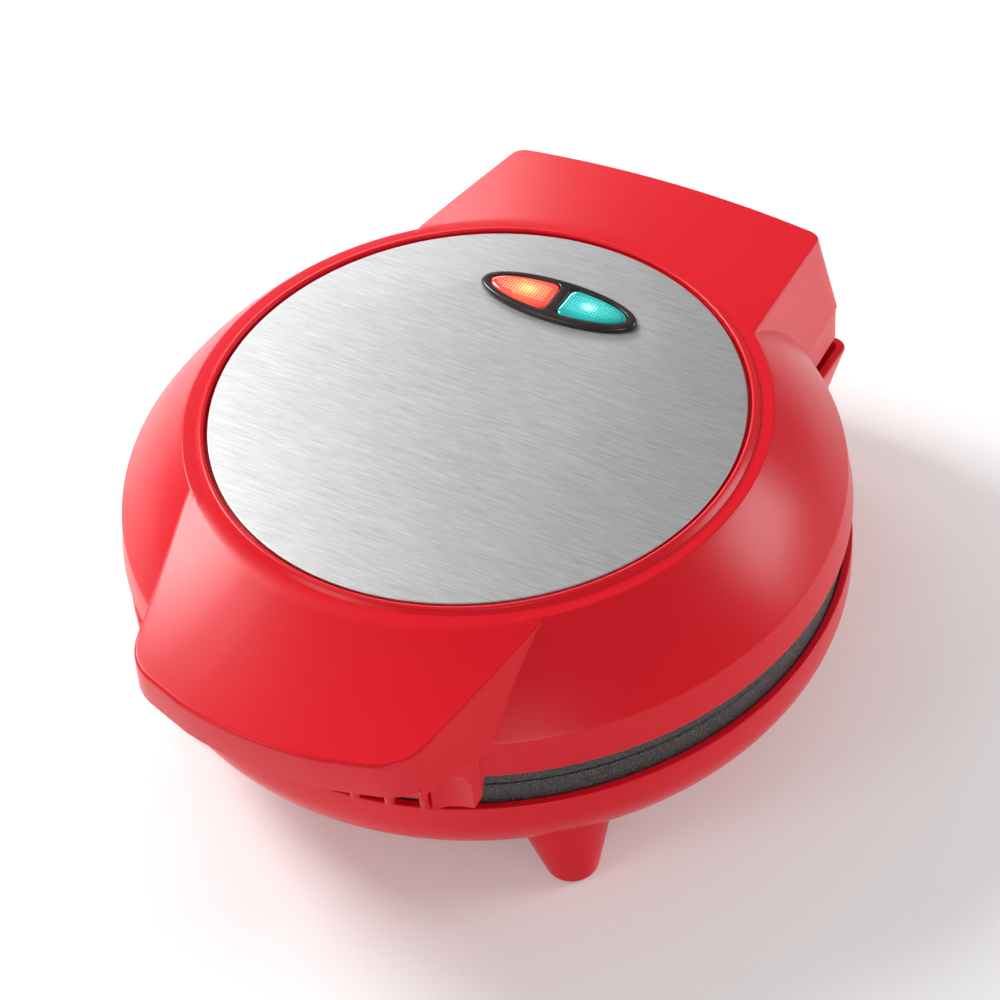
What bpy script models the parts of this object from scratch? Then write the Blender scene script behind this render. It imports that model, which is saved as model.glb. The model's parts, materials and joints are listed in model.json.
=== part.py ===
"""Electric omelette maker: a domed lid hinged at the back over a bowl-shaped base.

The bowl's axis is the Z axis of the working frame, +Y runs to the hinge, -Y to the handle, and
z = 0 is the table. An empty at the end moves the whole part so that its box is centred on the origin.
"""

import bmesh
import bpy
from math import asin, atan, atan2, cos, hypot, pi, radians, sin, sqrt
from mathutils import Matrix, Vector

# Walls and clearances
WALL = 0.0025
RIM_WALL = 0.0022
PLATE_GAP = 0.0004
SEAT_GAP = 0.0003
OVERRUN = 0.0040
EDGE_ROUND = 0.0010

# Heights, from the table up
FLOOR_CLEARANCE = 0.0130
BOWL_HEIGHT = 0.03025
BASE_TO_PARTING = 0.00725
PARTING_TO_LID = 0.0065
RIM_BAND_HEIGHT = 0.0113
DOME_HEIGHT = 0.0240
DISC_STEP = 0.0010
BASE_FLOOR_Z = FLOOR_CLEARANCE
BASE_RIM_Z = BASE_FLOOR_Z + BOWL_HEIGHT
PARTING_Z = BASE_RIM_Z + BASE_TO_PARTING
LID_RIM_Z = PARTING_Z + PARTING_TO_LID
RIM_CREASE_Z = LID_RIM_Z + RIM_BAND_HEIGHT
COLLAR_Z = RIM_CREASE_Z + DOME_HEIGHT
DISC_TOP_Z = COLLAR_Z + DISC_STEP

# Round sizes of the two halves
BODY_RADIUS = 0.1100
RIM_TAPER = 0.0017
COLLAR_SETBACK = 0.0235
COLLAR_WIDTH = 0.0075
BOWL_FLARE = 0.0300
BASE_BAND_HEIGHT = 0.0080
RIM_CREASE_RADIUS = BODY_RADIUS - RIM_TAPER
COLLAR_RADIUS = BODY_RADIUS - COLLAR_SETBACK
DISC_RADIUS = COLLAR_RADIUS - COLLAR_WIDTH
PLATE_RADIUS = BODY_RADIUS - RIM_WALL - PLATE_GAP
BASE_FLOOR_RADIUS = BODY_RADIUS - BOWL_FLARE

# Steel disc and the raised bead round it
DISC_THICKNESS = 0.0008
DISC_BEVEL = 0.0003
DISC_SIDE_GAP = 0.0006
BEAD_HEIGHT = 0.0006
BEAD_WIDTH = 0.0016
DOME_BULGE = 0.0009
DOME_SHARES = (0.25, 0.5, 0.75)
BLEND_STEP = 0.00006

# Roots of the handle and the housing, which lie under the collar
ROOT_TUCK = 0.0065
ROOT_RADIUS = COLLAR_RADIUS - ROOT_TUCK

# Handle
HANDLE_LENGTH = 0.0175
HANDLE_RISE = 0.0100
HANDLE_BACK_ANGLE = radians(41.63)
HANDLE_BACK_TUCK = 0.0022
HANDLE_FOOT_SETBACK = 0.0111
HANDLE_TIP_WIDTH = 0.0886
HANDLE_FRONT_BOW = 0.0085
HANDLE_CORNER_RADIUS = 0.0085
HANDLE_FALL = 0.0190
HANDLE_LIFT = 0.0064
HANDLE_REACH = BODY_RADIUS + HANDLE_LENGTH
HANDLE_LOW_Z = LID_RIM_Z + HANDLE_RISE

# Skirt and finger ribs under the handle
SKIRT_RISE = 0.00255
SKIRT_MARGIN_ANGLE = radians(0.56)
SKIRT_STEP = 0.0003
SKIRT_LOW_Z = BASE_RIM_Z + SKIRT_RISE
SKIRT_RADIUS = BODY_RADIUS + SKIRT_STEP
SKIRT_INNER_RADIUS = PLATE_RADIUS - PLATE_GAP
SKIRT_END_WIDTH = 0.0090
SKIRT_END_HEIGHT = 0.0105
GRIP_SPAN_ANGLE = radians(8.16)
GRIP_MARGIN_ANGLE = radians(0.96)
GRIP_INSET = 0.0001
RIB_COUNT = 9
RIB_STEP_SHARE = 0.1757
RIB_NOSE_SHARE = 0.25
RIB_WIDTH = 0.0036
RIB_DEPTH = 0.0024
SCOOP_RADIUS = 0.0088
SCOOP_SPAN_ANGLE = radians(5.36)
SCOOP_ROUND_SHARE = 0.9
SCOOP_TOP_DROP = 0.0010
SCOOP_TOP_Z = HANDLE_LOW_Z - SCOOP_TOP_DROP
BACK_WALL_HALF_ANGLE = radians(28.0)

# Hinge housing of the lid
HOUSING_FALL = 0.0057
HOUSING_DROP = 0.0035
HOUSING_TOP_DEPTH = 0.0145
HOUSING_LOW_DEPTH = 0.0215
HOUSING_BACK_BOW = 0.0030
HOUSING_FRONT_ANGLE = radians(43.12)
HOUSING_FRONT_TUCK = 0.0002
HOUSING_FLARE = 0.0015
HOUSING_BACK_FLARE = 0.0074
HOUSING_LOW_BACK_WIDTH = 0.1166
HOUSING_TOP_BACK_WIDTH = HOUSING_LOW_BACK_WIDTH - HOUSING_BACK_FLARE
HOUSING_CORNER_RADIUS = 0.0045
HOUSING_LOW_Z = LID_RIM_Z - HOUSING_DROP
HOUSING_TOP_REACH = BODY_RADIUS + HOUSING_TOP_DEPTH
HOUSING_LOW_REACH = BODY_RADIUS + HOUSING_LOW_DEPTH

# Hinge
HINGE_DEPTH = 0.0080
HINGE_RISE = 0.0005
KNUCKLE_RADIUS = 0.0060
PIN_RADIUS = 0.0029
PIN_CLEARANCE = 0.0003
PIN_COVER = 0.00225
PIN_BEVEL = 0.0006
BOSS_LENGTH = 0.00475
POST_WIDTH = 0.0080
POST_DEPTH = 0.0095
HINGE_Y = BODY_RADIUS + HINGE_DEPTH
HINGE_Z = PARTING_Z + HINGE_RISE

# Cheeks of the housing, which hold the hinge pins
CHEEK_DROP = 0.0100
CHEEK_AHEAD = 0.0160
CHEEK_BEHIND = 0.0095
CHEEK_CHAMFER = 0.0032
CHEEK_STEP = 0.0003
CHEEK_LOW_Z = HINGE_Z - CHEEK_DROP
CHEEK_FRONT_Y = HINGE_Y - CHEEK_AHEAD
CHEEK_BACK_Y = HINGE_Y + CHEEK_BEHIND

# Hinge box of the base
BOX_RIM_DROP = 0.00775
BOX_FLOOR_RISE = 0.0020
BOX_ROOT_SETBACK = 0.0440
BOX_DEPTH = 0.0230
BOX_BACK_SLOPE = 0.0068
BOX_BACK_BOW = 0.0020
BOX_FRONT_SETBACK = 0.0350
BOX_TOP_Z = BASE_RIM_Z - BOX_RIM_DROP
BOX_LOW_Z = BASE_FLOOR_Z + BOX_FLOOR_RISE
BOX_ROOT_RADIUS = BODY_RADIUS - BOX_ROOT_SETBACK
BOX_REACH = BODY_RADIUS + BOX_DEPTH
BOX_LOW_REACH = BOX_REACH - BOX_BACK_SLOPE
BOX_FRONT_Y = BODY_RADIUS - BOX_FRONT_SETBACK
BOX_OVERHANG = 0.0044
BOX_SIDE_SLOPE = 0.0090
BOX_TOP_WIDTH = HOUSING_LOW_BACK_WIDTH + BOX_OVERHANG
BOX_LOW_WIDTH = BOX_TOP_WIDTH - BOX_SIDE_SLOPE
BOX_CORNER_RADIUS = 0.0045
WIRE_WINDOW_WIDTH = 0.0300
WIRE_WINDOW_HEIGHT = 0.0120

# Feet
FOOT_SETBACK = 0.0105
FOOT_ANGLE = radians(42.03)
FOOT_TIP_RADIUS = 0.0075
FOOT_TOP_RADIUS = 0.0140
FOOT_ROOT_HEIGHT = 0.0110
FOOT_LEAN = 0.0082
FOOT_LOW_Z = 0.0007
FOOT_ROUND = 0.0014
FOOT_ROUND_SHARE = 0.3
PAD_RADIUS = 0.0045
PAD_HEIGHT = 0.0030
PAD_BEVEL = 0.0005
FOOT_TOP_Z = BASE_FLOOR_Z + FOOT_ROOT_HEIGHT
FOOT_X = (BODY_RADIUS - FOOT_SETBACK) * sin(FOOT_ANGLE)
FOOT_Y = (BODY_RADIUS - FOOT_SETBACK) * cos(FOOT_ANGLE)

# Cooking plates
PLATE_WEB = 0.0040
PLATE_EDGE_HEIGHT = 0.0115
PLATE_EDGE_THICKNESS = 0.0030
PLATE_BEVEL = 0.0008
POCKET_MARGIN = 0.0124
POCKET_DEPTH = 0.0140
POCKET_WALL = 0.0025
POCKET_CORNER = 0.0140
POCKET_SLOPE = 0.0110
POCKET_LEVEL_SHARES = ((0, 0), (0.45, 0.30), (0.86, 0.62), (1, 1))
DIVIDER_WIDTH = 0.0160
PLATE_BOSS_RADIUS = 0.0042
PLATE_BOSS_Y = 0.0600
POCKET_RADIUS = PLATE_RADIUS - POCKET_MARGIN

# Heating elements
ELEMENT_RADIUS = 0.0026
ELEMENT_OPEN_ANGLE = radians(7.0)
ELEMENT_END_HEIGHT = 0.0045

# Heat shields
SHEET = 0.0008
SHIELD_SETBACK = 0.0019
SHIELD_FLANGE_WIDTH = 0.0045
SHIELD_TAPER = 0.0150
UPPER_SHIELD_STANDOFF = 0.0172
LOWER_SHIELD_STANDOFF = 0.0080
SHIELD_FLANGE_RADIUS = PLATE_RADIUS - SHIELD_SETBACK
SHIELD_FLOOR_RADIUS = SHIELD_FLANGE_RADIUS - SHIELD_FLANGE_WIDTH - SHIELD_TAPER
CEILING_Z = DISC_TOP_Z - DISC_THICKNESS - SEAT_GAP - WALL
UPPER_SHIELD_DEPTH = CEILING_Z - PARTING_Z - UPPER_SHIELD_STANDOFF
LOWER_SHIELD_DEPTH = PARTING_Z - BASE_FLOOR_Z - WALL - LOWER_SHIELD_STANDOFF
SHIELD_BOSS_RADIUS = 0.0040
SHIELD_BOSS_CIRCLE = 0.0600

# Screws
SCREW_RADIUS = 0.0015
SCREW_HEAD_RADIUS = 0.0033
SCREW_HEAD_HEIGHT = 0.0022
SCREW_LENGTH = 0.0070
SCREW_HOLE_RADIUS = 0.0020

# Indicator window on the disc
WINDOW_SETBACK = 0.0290
WINDOW_Y = DISC_RADIUS - WINDOW_SETBACK
BEZEL_HALF_LENGTH = 0.0265
BEZEL_HALF_WIDTH = 0.0087
BEZEL_HEIGHT = 0.0016
BEZEL_LIP = 0.0012
BEZEL_NECK_DEPTH = 0.0042
BEZEL_BAND = 0.0030
BEZEL_SIDE_BAND = 0.0024
BEZEL_DIVIDER = 0.0034
LENS_CLEARANCE = 0.0003
LENS_CROWN = 0.0008
LENS_CORNER = 0.0022
CARRIER_DEPTH = 0.0100
CARRIER_WALL = 0.0018
LAMP_RADIUS = 0.0025
LAMP_LENGTH = 0.0105
LAMP_X = 0.0115

# Electrical parts in the base
THERMOSTAT_X = 0.0380
THERMOSTAT_FLANGE_RADIUS = 0.0085
THERMOSTAT_BODY_RADIUS = 0.0068
THERMOSTAT_FLANGE_HEIGHT = 0.0015
THERMOSTAT_BODY_HEIGHT = 0.0042
BLADE_WIDTH = 0.0032
BLADE_THICKNESS = 0.0008
BLADE_LENGTH = 0.0080
FUSE_X = 0.0380
FUSE_RADIUS = 0.0020
FUSE_LENGTH = 0.0120
FUSE_LEAD_RADIUS = 0.0006
FUSE_LEAD_LENGTH = 0.0060
TERMINAL_WIDTH = 0.0300
TERMINAL_DEPTH = 0.0090
TERMINAL_HEIGHT = 0.0090
TERMINAL_HOLE_RADIUS = 0.0019
TERMINAL_COUNT = 3
GLAND_RISE = 0.0095
GLAND_Z = BOX_LOW_Z + GLAND_RISE
GLAND_FLANGE_RADIUS = 0.0065
GLAND_NECK_RADIUS = 0.0050
GLAND_BORE_RADIUS = 0.0036
GLAND_FLANGE_THICKNESS = 0.0014

# Facet counts
ROUND_FACES = 56
PLATE_FACES = 48
SHIELD_FACES = 32
SMALL_FACES = 8
HOLE_FACES = 16
ARC_STEPS = 3
SMOOTH_ANGLE = radians(32)

# Where the whole part stands, so that its box is centred on the origin
SHIFT_Y = (HANDLE_REACH - BOX_REACH) / 2


def clear_scene():
    for old in list(bpy.data.objects):
        bpy.data.objects.remove(old)


def material(name, colour, roughness, metallic=0.0, glow=0.0):
    made = bpy.data.materials.new(name)
    made.use_nodes = True
    shader = made.node_tree.nodes["Principled BSDF"]
    shader.inputs["Base Color"].default_value = (*colour, 1.0)
    shader.inputs["Roughness"].default_value = roughness
    shader.inputs["Metallic"].default_value = metallic
    shader.inputs["Emission Color"].default_value = (*colour, 1.0)
    shader.inputs["Emission Strength"].default_value = glow
    made.diffuse_color = (*colour, 1.0)
    return made


def finished(bm, name, finish=None):
    """A mesh object from a bmesh, with its faces turned outwards."""
    bmesh.ops.recalc_face_normals(bm, faces=bm.faces)
    mesh = bpy.data.meshes.new(name)
    bm.to_mesh(mesh)
    bm.free()
    made = bpy.data.objects.new(name, mesh)
    bpy.context.scene.collection.objects.link(made)
    if finish:
        mesh.materials.append(finish)
    return made


def placed(made, matrix):
    made.data.transform(matrix)
    if matrix.determinant() < 0:
        made.data.flip_normals()
    return made


def combine(made, other, operation):
    """Joins, cuts or keeps what both share, and leaves one mesh."""
    modifier = made.modifiers.new(operation, "BOOLEAN")
    modifier.operation = operation
    modifier.object = other
    graph = bpy.context.evaluated_depsgraph_get()
    result = bpy.data.meshes.new_from_object(made.evaluated_get(graph))
    made.modifiers.clear()
    old = made.data
    name = old.name
    made.data = result
    bpy.data.meshes.remove(old)
    result.name = name
    bpy.data.objects.remove(other)
    return made


def turned(name, profile, faces, finish=None):
    """A closed profile of (radius, height) points turned round the Z axis, with flat ends on the axis."""
    bm = bmesh.new()
    turns = [2 * pi * i / faces for i in range(faces)]
    rings = []
    for radius, height in profile:
        if radius > 0:
            rings.append([bm.verts.new((radius * cos(t), radius * sin(t), height)) for t in turns])
    capped = len(rings) < len(profile)
    following = rings[1:] if capped else rings[1:] + rings[:1]
    for lower, upper in zip(rings, following):
        for i in range(faces):
            bm.faces.new([lower[i], lower[(i + 1) % faces], upper[(i + 1) % faces], upper[i]])
    if capped:
        bm.faces.new(rings[0])
        bm.faces.new(rings[-1])
    return finished(bm, name, finish)


def loft(name, sections, finish=None):
    """A solid through closed sections with equal point counts, capped at both ends."""
    bm = bmesh.new()
    rings = [[bm.verts.new(point) for point in section] for section in sections]
    for lower, upper in zip(rings, rings[1:]):
        count = len(lower)
        for i in range(count):
            bm.faces.new([lower[i], lower[(i + 1) % count], upper[(i + 1) % count], upper[i]])
    bm.faces.new(rings[0])
    bm.faces.new(rings[-1])
    return finished(bm, name, finish)


def prism(name, outline, low, high, finish=None):
    return loft(name, [[(x, y, z) for x, y in outline] for z in (low, high)], finish)


def block(name, low, high, finish=None):
    outline = [(low[0], low[1]), (high[0], low[1]), (high[0], high[1]), (low[0], high[1])]
    return prism(name, outline, low[2], high[2], finish)


def rod(name, radius, start, end, faces=HOLE_FACES, finish=None):
    """A plain cylinder between two points."""
    start, end = Vector(start), Vector(end)
    made = turned(name, [(0, 0), (radius, 0), (radius, (end - start).length), (0, (end - start).length)], faces, finish)
    turn = Vector((0, 0, 1)).rotation_difference(end - start).to_matrix().to_4x4()
    return placed(made, Matrix.Translation(start) @ turn)


def filleted(points, steps=ARC_STEPS):
    """An open outline of (x, y, radius) points with each inner corner rounded to its radius."""
    made = [points[0][:2]]
    for before, corner, after in zip(points, points[1:], points[2:]):
        here, radius = Vector(corner[:2]), corner[2]
        back = (Vector(before[:2]) - here).normalized()
        ahead = (Vector(after[:2]) - here).normalized()
        half = back.angle(ahead) / 2
        if radius == 0 or abs(half - pi / 2) < radians(0.5):
            made.append(tuple(here))
            continue
        centre = here + (back + ahead).normalized() * radius / sin(half)
        first = here + back * radius / abs(sin(half) / cos(half)) - centre
        last = here + ahead * radius / abs(sin(half) / cos(half)) - centre
        turn = first.angle_signed(last)
        for i in range(steps + 1):
            share = i / steps
            spin = Matrix.Rotation(-turn * share, 2)
            made.append(tuple(centre + spin @ first))
    made.append(points[-1][:2])
    return made


def ellipse(half_length, half_width, centre_y, faces):
    turns = [2 * pi * i / faces for i in range(faces)]
    return [(half_length * cos(t), centre_y + half_width * sin(t)) for t in turns]


def blend(first, last, share):
    return first + (last - first) * share


def bowed_outline(front_y, front_width, back_y, back_width, bow, corner_radius, inset=0, steps=6):
    """Half-trapezoid outline towards +Y, from the right side round a bowed back to the left side."""
    half_front = front_width / 2 - inset
    half_back = back_width / 2 - inset
    reach = back_y - inset
    side_y = reach - bow
    radius = (half_back**2 + bow**2) / (2 * bow)
    span = asin(half_back / radius)
    arc = []
    for i in range(1, steps):
        turn = blend(span, -span, i / steps)
        arc.append((radius * sin(turn), reach - radius * (1 - cos(turn)), 0))
    corner = max(corner_radius - inset, EDGE_ROUND)
    points = [(half_front, front_y, 0), (half_back, side_y, corner), *arc]
    points += [(-half_back, side_y, corner), (-half_front, front_y, 0)]
    return filleted(points)


def slices(top_outline, low_outline, low_z, top_height, edge_round, drop_z=None, steps=3):
    """Radial sections of a body whose top follows top_height(radius) out to its outline.

    With drop_z the body is a room, which starts further in and goes straight down to that height.
    """
    made = []
    root_radius = ROOT_RADIUS if drop_z is None else ROOT_RADIUS - OVERRUN
    for (tx, ty), (lx, ly) in zip(top_outline, low_outline):
        reach = hypot(tx, ty)
        ux, uy = tx / reach, ty / reach
        section = [(ux * root_radius, uy * root_radius, low_z if drop_z is None else drop_z)]
        section.append((ux * root_radius, uy * root_radius, top_height(root_radius)))
        first = min(COLLAR_RADIUS, (root_radius + reach) / 2)
        for i in range(steps + 1):
            radius = blend(first, reach - edge_round, i / steps)
            section.append((ux * radius, uy * radius, top_height(radius)))
        section.append((tx, ty, top_height(reach) - edge_round))
        section.append((lx, ly, low_z))
        if drop_z is not None:
            section.append((lx, ly, drop_z))
        made.append(section)
    return made


def below(top, low):
    """Where the lower outline lies under each point of the upper one, seen from the axis."""
    first = Vector(low[0]) * 2 - Vector(low[1])
    last = Vector(low[-1]) * 2 - Vector(low[-2])
    line = [first, *(Vector(point) for point in low), last]
    made = []
    for point in top:
        ray = Vector(point).normalized()
        meets = []
        for start, end in zip(line, line[1:]):
            across, along = ray.cross(start), ray.cross(end - start)
            if along and 0 <= -across / along <= 1:
                meets.append(ray.dot(start.lerp(end, -across / along)))
        made.append(tuple(ray * max(meets)))
    return made


def mirrored(points):
    return [(x, -y) for x, y in points]


def handle_height(radius):
    """The handle's top leaves the collar steeply and flattens towards the tip."""
    share = max((radius - COLLAR_RADIUS) / (HANDLE_REACH - COLLAR_RADIUS), 0)
    return COLLAR_Z + BLEND_STEP - HANDLE_FALL * share + HANDLE_LIFT * share * share


def housing_height(radius):
    share = max((radius - COLLAR_RADIUS) / (HOUSING_TOP_REACH - COLLAR_RADIUS), 0)
    return COLLAR_Z + BLEND_STEP - HOUSING_FALL * share


def dome_profile():
    """Outer profile of the lid from its centre over the collar and the rim to the lower edge."""
    floor = DISC_TOP_Z - DISC_THICKNESS - SEAT_GAP
    seat = DISC_RADIUS + DISC_SIDE_GAP
    top = DISC_TOP_Z + BEAD_HEIGHT
    profile = [(0, floor), (seat, floor), (seat, top - BEAD_HEIGHT / 2), (seat + BEAD_HEIGHT / 2, top)]
    profile += [(seat + BEAD_WIDTH, top - BEAD_HEIGHT)]
    profile.append((COLLAR_RADIUS, COLLAR_Z))
    run = Vector((RIM_CREASE_RADIUS - COLLAR_RADIUS, RIM_CREASE_Z - COLLAR_Z))
    out = Vector((-run.y, run.x)).normalized()
    for share in DOME_SHARES:
        point = Vector((COLLAR_RADIUS, COLLAR_Z)) + run * share + out * DOME_BULGE * sin(pi * share)
        profile.append(tuple(point))
    side = Vector((BODY_RADIUS - RIM_CREASE_RADIUS, LID_RIM_Z - RIM_CREASE_Z)).normalized()
    crease = Vector((RIM_CREASE_RADIUS, RIM_CREASE_Z))
    profile.append(tuple(crease - run.normalized() * EDGE_ROUND))
    profile.append(tuple(crease + side * EDGE_ROUND))
    profile += [(BODY_RADIUS, LID_RIM_Z), (0, LID_RIM_Z)]
    return profile


def handle_corner(radius):
    """Back corner of the handle at a distance from the axis."""
    return radius * sin(HANDLE_BACK_ANGLE), radius * cos(HANDLE_BACK_ANGLE)


def handle_outlines(inset=0):
    """The handle's top edge and its foot, both turned to -Y, with equal point counts."""
    corner, bow, tip_width = HANDLE_CORNER_RADIUS, HANDLE_FRONT_BOW, HANDLE_TIP_WIDTH
    back_x, back_y = handle_corner(COLLAR_RADIUS - HANDLE_BACK_TUCK)
    foot_x, foot_y = handle_corner(BODY_RADIUS - HANDLE_FOOT_SETBACK)
    top = bowed_outline(back_y, back_x * 2, HANDLE_REACH, tip_width, bow, corner, inset)
    low_reach = HANDLE_REACH - EDGE_ROUND / 2
    low = bowed_outline(foot_y, foot_x * 2, low_reach, tip_width, bow, corner, inset)
    return mirrored(top), mirrored(below(top, low))


def handle():
    top, low = handle_outlines()
    return loft("handle", slices(top, low, HANDLE_LOW_Z, handle_height, EDGE_ROUND))


def handle_room(inset):
    """The handle drawn in by inset and carried straight down past the skirt."""
    top, low = handle_outlines(inset)
    low_z, drop_z = HANDLE_LOW_Z, SKIRT_LOW_Z - inset
    sections = slices(top, low, low_z, lambda radius: handle_height(radius) - inset, EDGE_ROUND, drop_z)
    return loft("handle_room", sections)


def side_wall_line():
    """The handle's side wall seen from above: its slope, and how far out it would meet the axis' plane."""
    foot_x, foot_y = handle_corner(BODY_RADIUS - HANDLE_FOOT_SETBACK)
    slope = (foot_x - HANDLE_TIP_WIDTH / 2) / (HANDLE_REACH - EDGE_ROUND / 2 - HANDLE_FRONT_BOW - foot_y)
    return slope, foot_x + slope * foot_y


def side_wall_radius(turn):
    """Distance from the axis to the handle's side wall, along a direction measured from the front."""
    slope, offset = side_wall_line()
    return offset / (sin(abs(turn)) + slope * cos(turn))


def side_wall_turn():
    """The direction, measured from the front, in which the handle's side wall meets the skirt."""
    slope, offset = side_wall_line()
    return asin(offset / SKIRT_RADIUS / hypot(1, slope)) - atan(slope)


def rim_wall(name, stations, inner, low_at, high_z):
    """A curved wall round the plates through stations of (angle from the front, outer radius)."""
    sections = []
    for turn, outer in stations:
        ux, uy = sin(turn), -cos(turn)
        low = low_at(turn)
        ring = [(inner, low), (outer, low), (outer, high_z), (inner, high_z)]
        sections.append([(ux * r, uy * r, z) for r, z in ring])
    return loft(name, sections)


def steps_between(first, last, count):
    return [blend(first, last, i / count) for i in range(count + 1)]


def skirt_low(turn):
    """The skirt's lower edge, which curves up near its ends."""
    from_end = (side_wall_turn() - SKIRT_MARGIN_ANGLE - abs(turn)) * SKIRT_RADIUS
    if from_end >= SKIRT_END_WIDTH:
        return SKIRT_LOW_Z
    share = 1 - from_end / SKIRT_END_WIDTH
    return SKIRT_LOW_Z + SKIRT_END_HEIGHT * (1 - sqrt(1 - share * share))


def skirt():
    """The wall in front of the plates, up to the handle's top, with a row of pointed finger ribs."""
    half = RIB_WIDTH / 2 / SKIRT_RADIUS
    nose = half * RIB_NOSE_SHARE
    half_angle = side_wall_turn() - SKIRT_MARGIN_ANGLE
    ribs = []
    for i in range(RIB_COUNT):
        middle = (i - (RIB_COUNT - 1) / 2) * half_angle * RIB_STEP_SHARE
        for turn, rise in ((-half, 0), (-nose, RIB_DEPTH), (nose, RIB_DEPTH), (half, 0)):
            ribs.append((middle + turn, SKIRT_RADIUS + rise))
    end = steps_between(ribs[-1][0], half_angle, 7)[1:]
    left = [(-turn, SKIRT_RADIUS) for turn in reversed(end)]
    right = [(turn, SKIRT_RADIUS) for turn in end]
    made = rim_wall("skirt", left + ribs + right, SKIRT_INNER_RADIUS, skirt_low, COLLAR_Z)
    return combine(made, handle_room(WALL / 2), "INTERSECT")


def grip_end(side):
    """The block between an end of the skirt and the handle's side wall."""
    high = HANDLE_LOW_Z + SEAT_GAP
    meet = side_wall_turn()
    turns = steps_between(side * (meet - GRIP_SPAN_ANGLE), side * (meet - GRIP_MARGIN_ANGLE), 6)
    inner = (SKIRT_INNER_RADIUS + SKIRT_RADIUS) / 2
    stations = [(turn, side_wall_radius(turn) - GRIP_INSET) for turn in turns]
    return rim_wall("grip_end", stations, inner, lambda turn: skirt_low(turn) - SEAT_GAP, high)


def scoop(side):
    """The finger hollow at an end of the skirt: an upright cylinder with a rounded top."""
    steps = 5
    top = SCOOP_TOP_Z - SCOOP_RADIUS
    profile = [(0, SKIRT_LOW_Z - OVERRUN), (SCOOP_RADIUS, SKIRT_LOW_Z - OVERRUN)]
    for i in range(steps + 1):
        turn = pi / 2 * SCOOP_ROUND_SHARE * i / steps
        profile.append((SCOOP_RADIUS * cos(turn), top + SCOOP_RADIUS * sin(turn)))
    profile.append((0, profile[-1][1]))
    made = turned("scoop", profile, HOLE_FACES)
    reach = SKIRT_RADIUS + SCOOP_RADIUS + SEAT_GAP
    turn = side_wall_turn() - SCOOP_SPAN_ANGLE
    place = (side * reach * sin(turn), -reach * cos(turn), 0)
    return placed(made, Matrix.Translation(place))


def housing_outlines(inset=0):
    front = COLLAR_RADIUS - HOUSING_FRONT_TUCK
    half, front_y = front * sin(HOUSING_FRONT_ANGLE), front * cos(HOUSING_FRONT_ANGLE)
    bow, corner = HOUSING_BACK_BOW, HOUSING_CORNER_RADIUS
    top = bowed_outline(front_y, half * 2, HOUSING_TOP_REACH, HOUSING_TOP_BACK_WIDTH, bow, corner, inset)
    low_width = (half + HOUSING_FLARE) * 2
    low = bowed_outline(front_y, low_width, HOUSING_LOW_REACH, HOUSING_LOW_BACK_WIDTH, bow, corner, inset)
    return top, below(top, low)


def hinge_housing():
    top, low = housing_outlines()
    made = loft("housing", slices(top, low, HOUSING_LOW_Z, housing_height, EDGE_ROUND))
    for side in (-1, 1):
        made = combine(made, cheek(side), "UNION")
    return made


def housing_hollow():
    """The room inside the hinge housing, open below."""
    top, low = housing_outlines(WALL)
    low_z, drop_z = HOUSING_LOW_Z, CHEEK_LOW_Z - OVERRUN
    sections = slices(top, low, low_z, lambda radius: housing_height(radius) - WALL, EDGE_ROUND, drop_z)
    return loft("hollow", sections)


def cheek(side):
    """The housing's side wall carried down past the hinge pin."""
    low = housing_outlines(CHEEK_STEP)[1]
    made = prism("cheek", low, CHEEK_LOW_Z - OVERRUN, HOUSING_LOW_Z + EDGE_ROUND)
    profile = [
        (CHEEK_FRONT_Y, HOUSING_LOW_Z + OVERRUN, 0),
        (CHEEK_FRONT_Y, CHEEK_LOW_Z, CHEEK_CHAMFER),
        (CHEEK_BACK_Y, CHEEK_LOW_Z, CHEEK_CHAMFER),
        (CHEEK_BACK_Y, HOUSING_LOW_Z + OVERRUN, 0),
    ]
    outline = filleted(profile)
    inner, outer = HOUSING_LOW_BACK_WIDTH / 2 - 2 * WALL, HOUSING_LOW_BACK_WIDTH / 2 + OVERRUN
    window = loft("window", [[(side * x, y, z) for y, z in outline] for x in (inner, outer)])
    return combine(made, window, "INTERSECT")


def knuckle(side, inner, outer):
    """A round boss on the hinge axis between two distances from the middle."""
    return rod("knuckle", KNUCKLE_RADIUS, (side * inner, HINGE_Y, HINGE_Z), (side * outer, HINGE_Y, HINGE_Z))


def pin_span():
    """Inner and outer ends of a hinge pin, measured from the middle."""
    return post_inner() + PIN_COVER, HOUSING_LOW_BACK_WIDTH / 2 - EDGE_ROUND


def pin_hole(side, outer):
    inner = pin_span()[0] - OVERRUN
    radius = PIN_RADIUS + PIN_CLEARANCE
    return rod("pin_hole", radius, (side * inner, HINGE_Y, HINGE_Z), (side * outer, HINGE_Y, HINGE_Z))


def post_inner():
    """Inner face of a base hinge post, so that its outer face clears the lid's boss."""
    cheek_inner = HOUSING_LOW_BACK_WIDTH / 2 - WALL - EDGE_ROUND
    return cheek_inner - BOSS_LENGTH - POST_WIDTH


def shield_bosses():
    turns = [pi / 4 + i * pi / 2 for i in range(4)]
    return [(SHIELD_BOSS_CIRCLE * cos(t), SHIELD_BOSS_CIRCLE * sin(t)) for t in turns]


def back_wall():
    """The rim wall inside the hinge housing."""
    high = housing_height(SKIRT_RADIUS) - WALL / 2
    turns = steps_between(pi - BACK_WALL_HALF_ANGLE, pi + BACK_WALL_HALF_ANGLE, 12)
    stations = [(turn, SKIRT_RADIUS) for turn in turns]
    return rim_wall("back_wall", stations, SKIRT_INNER_RADIUS, lambda turn: LID_RIM_Z + SEAT_GAP, high)


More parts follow.
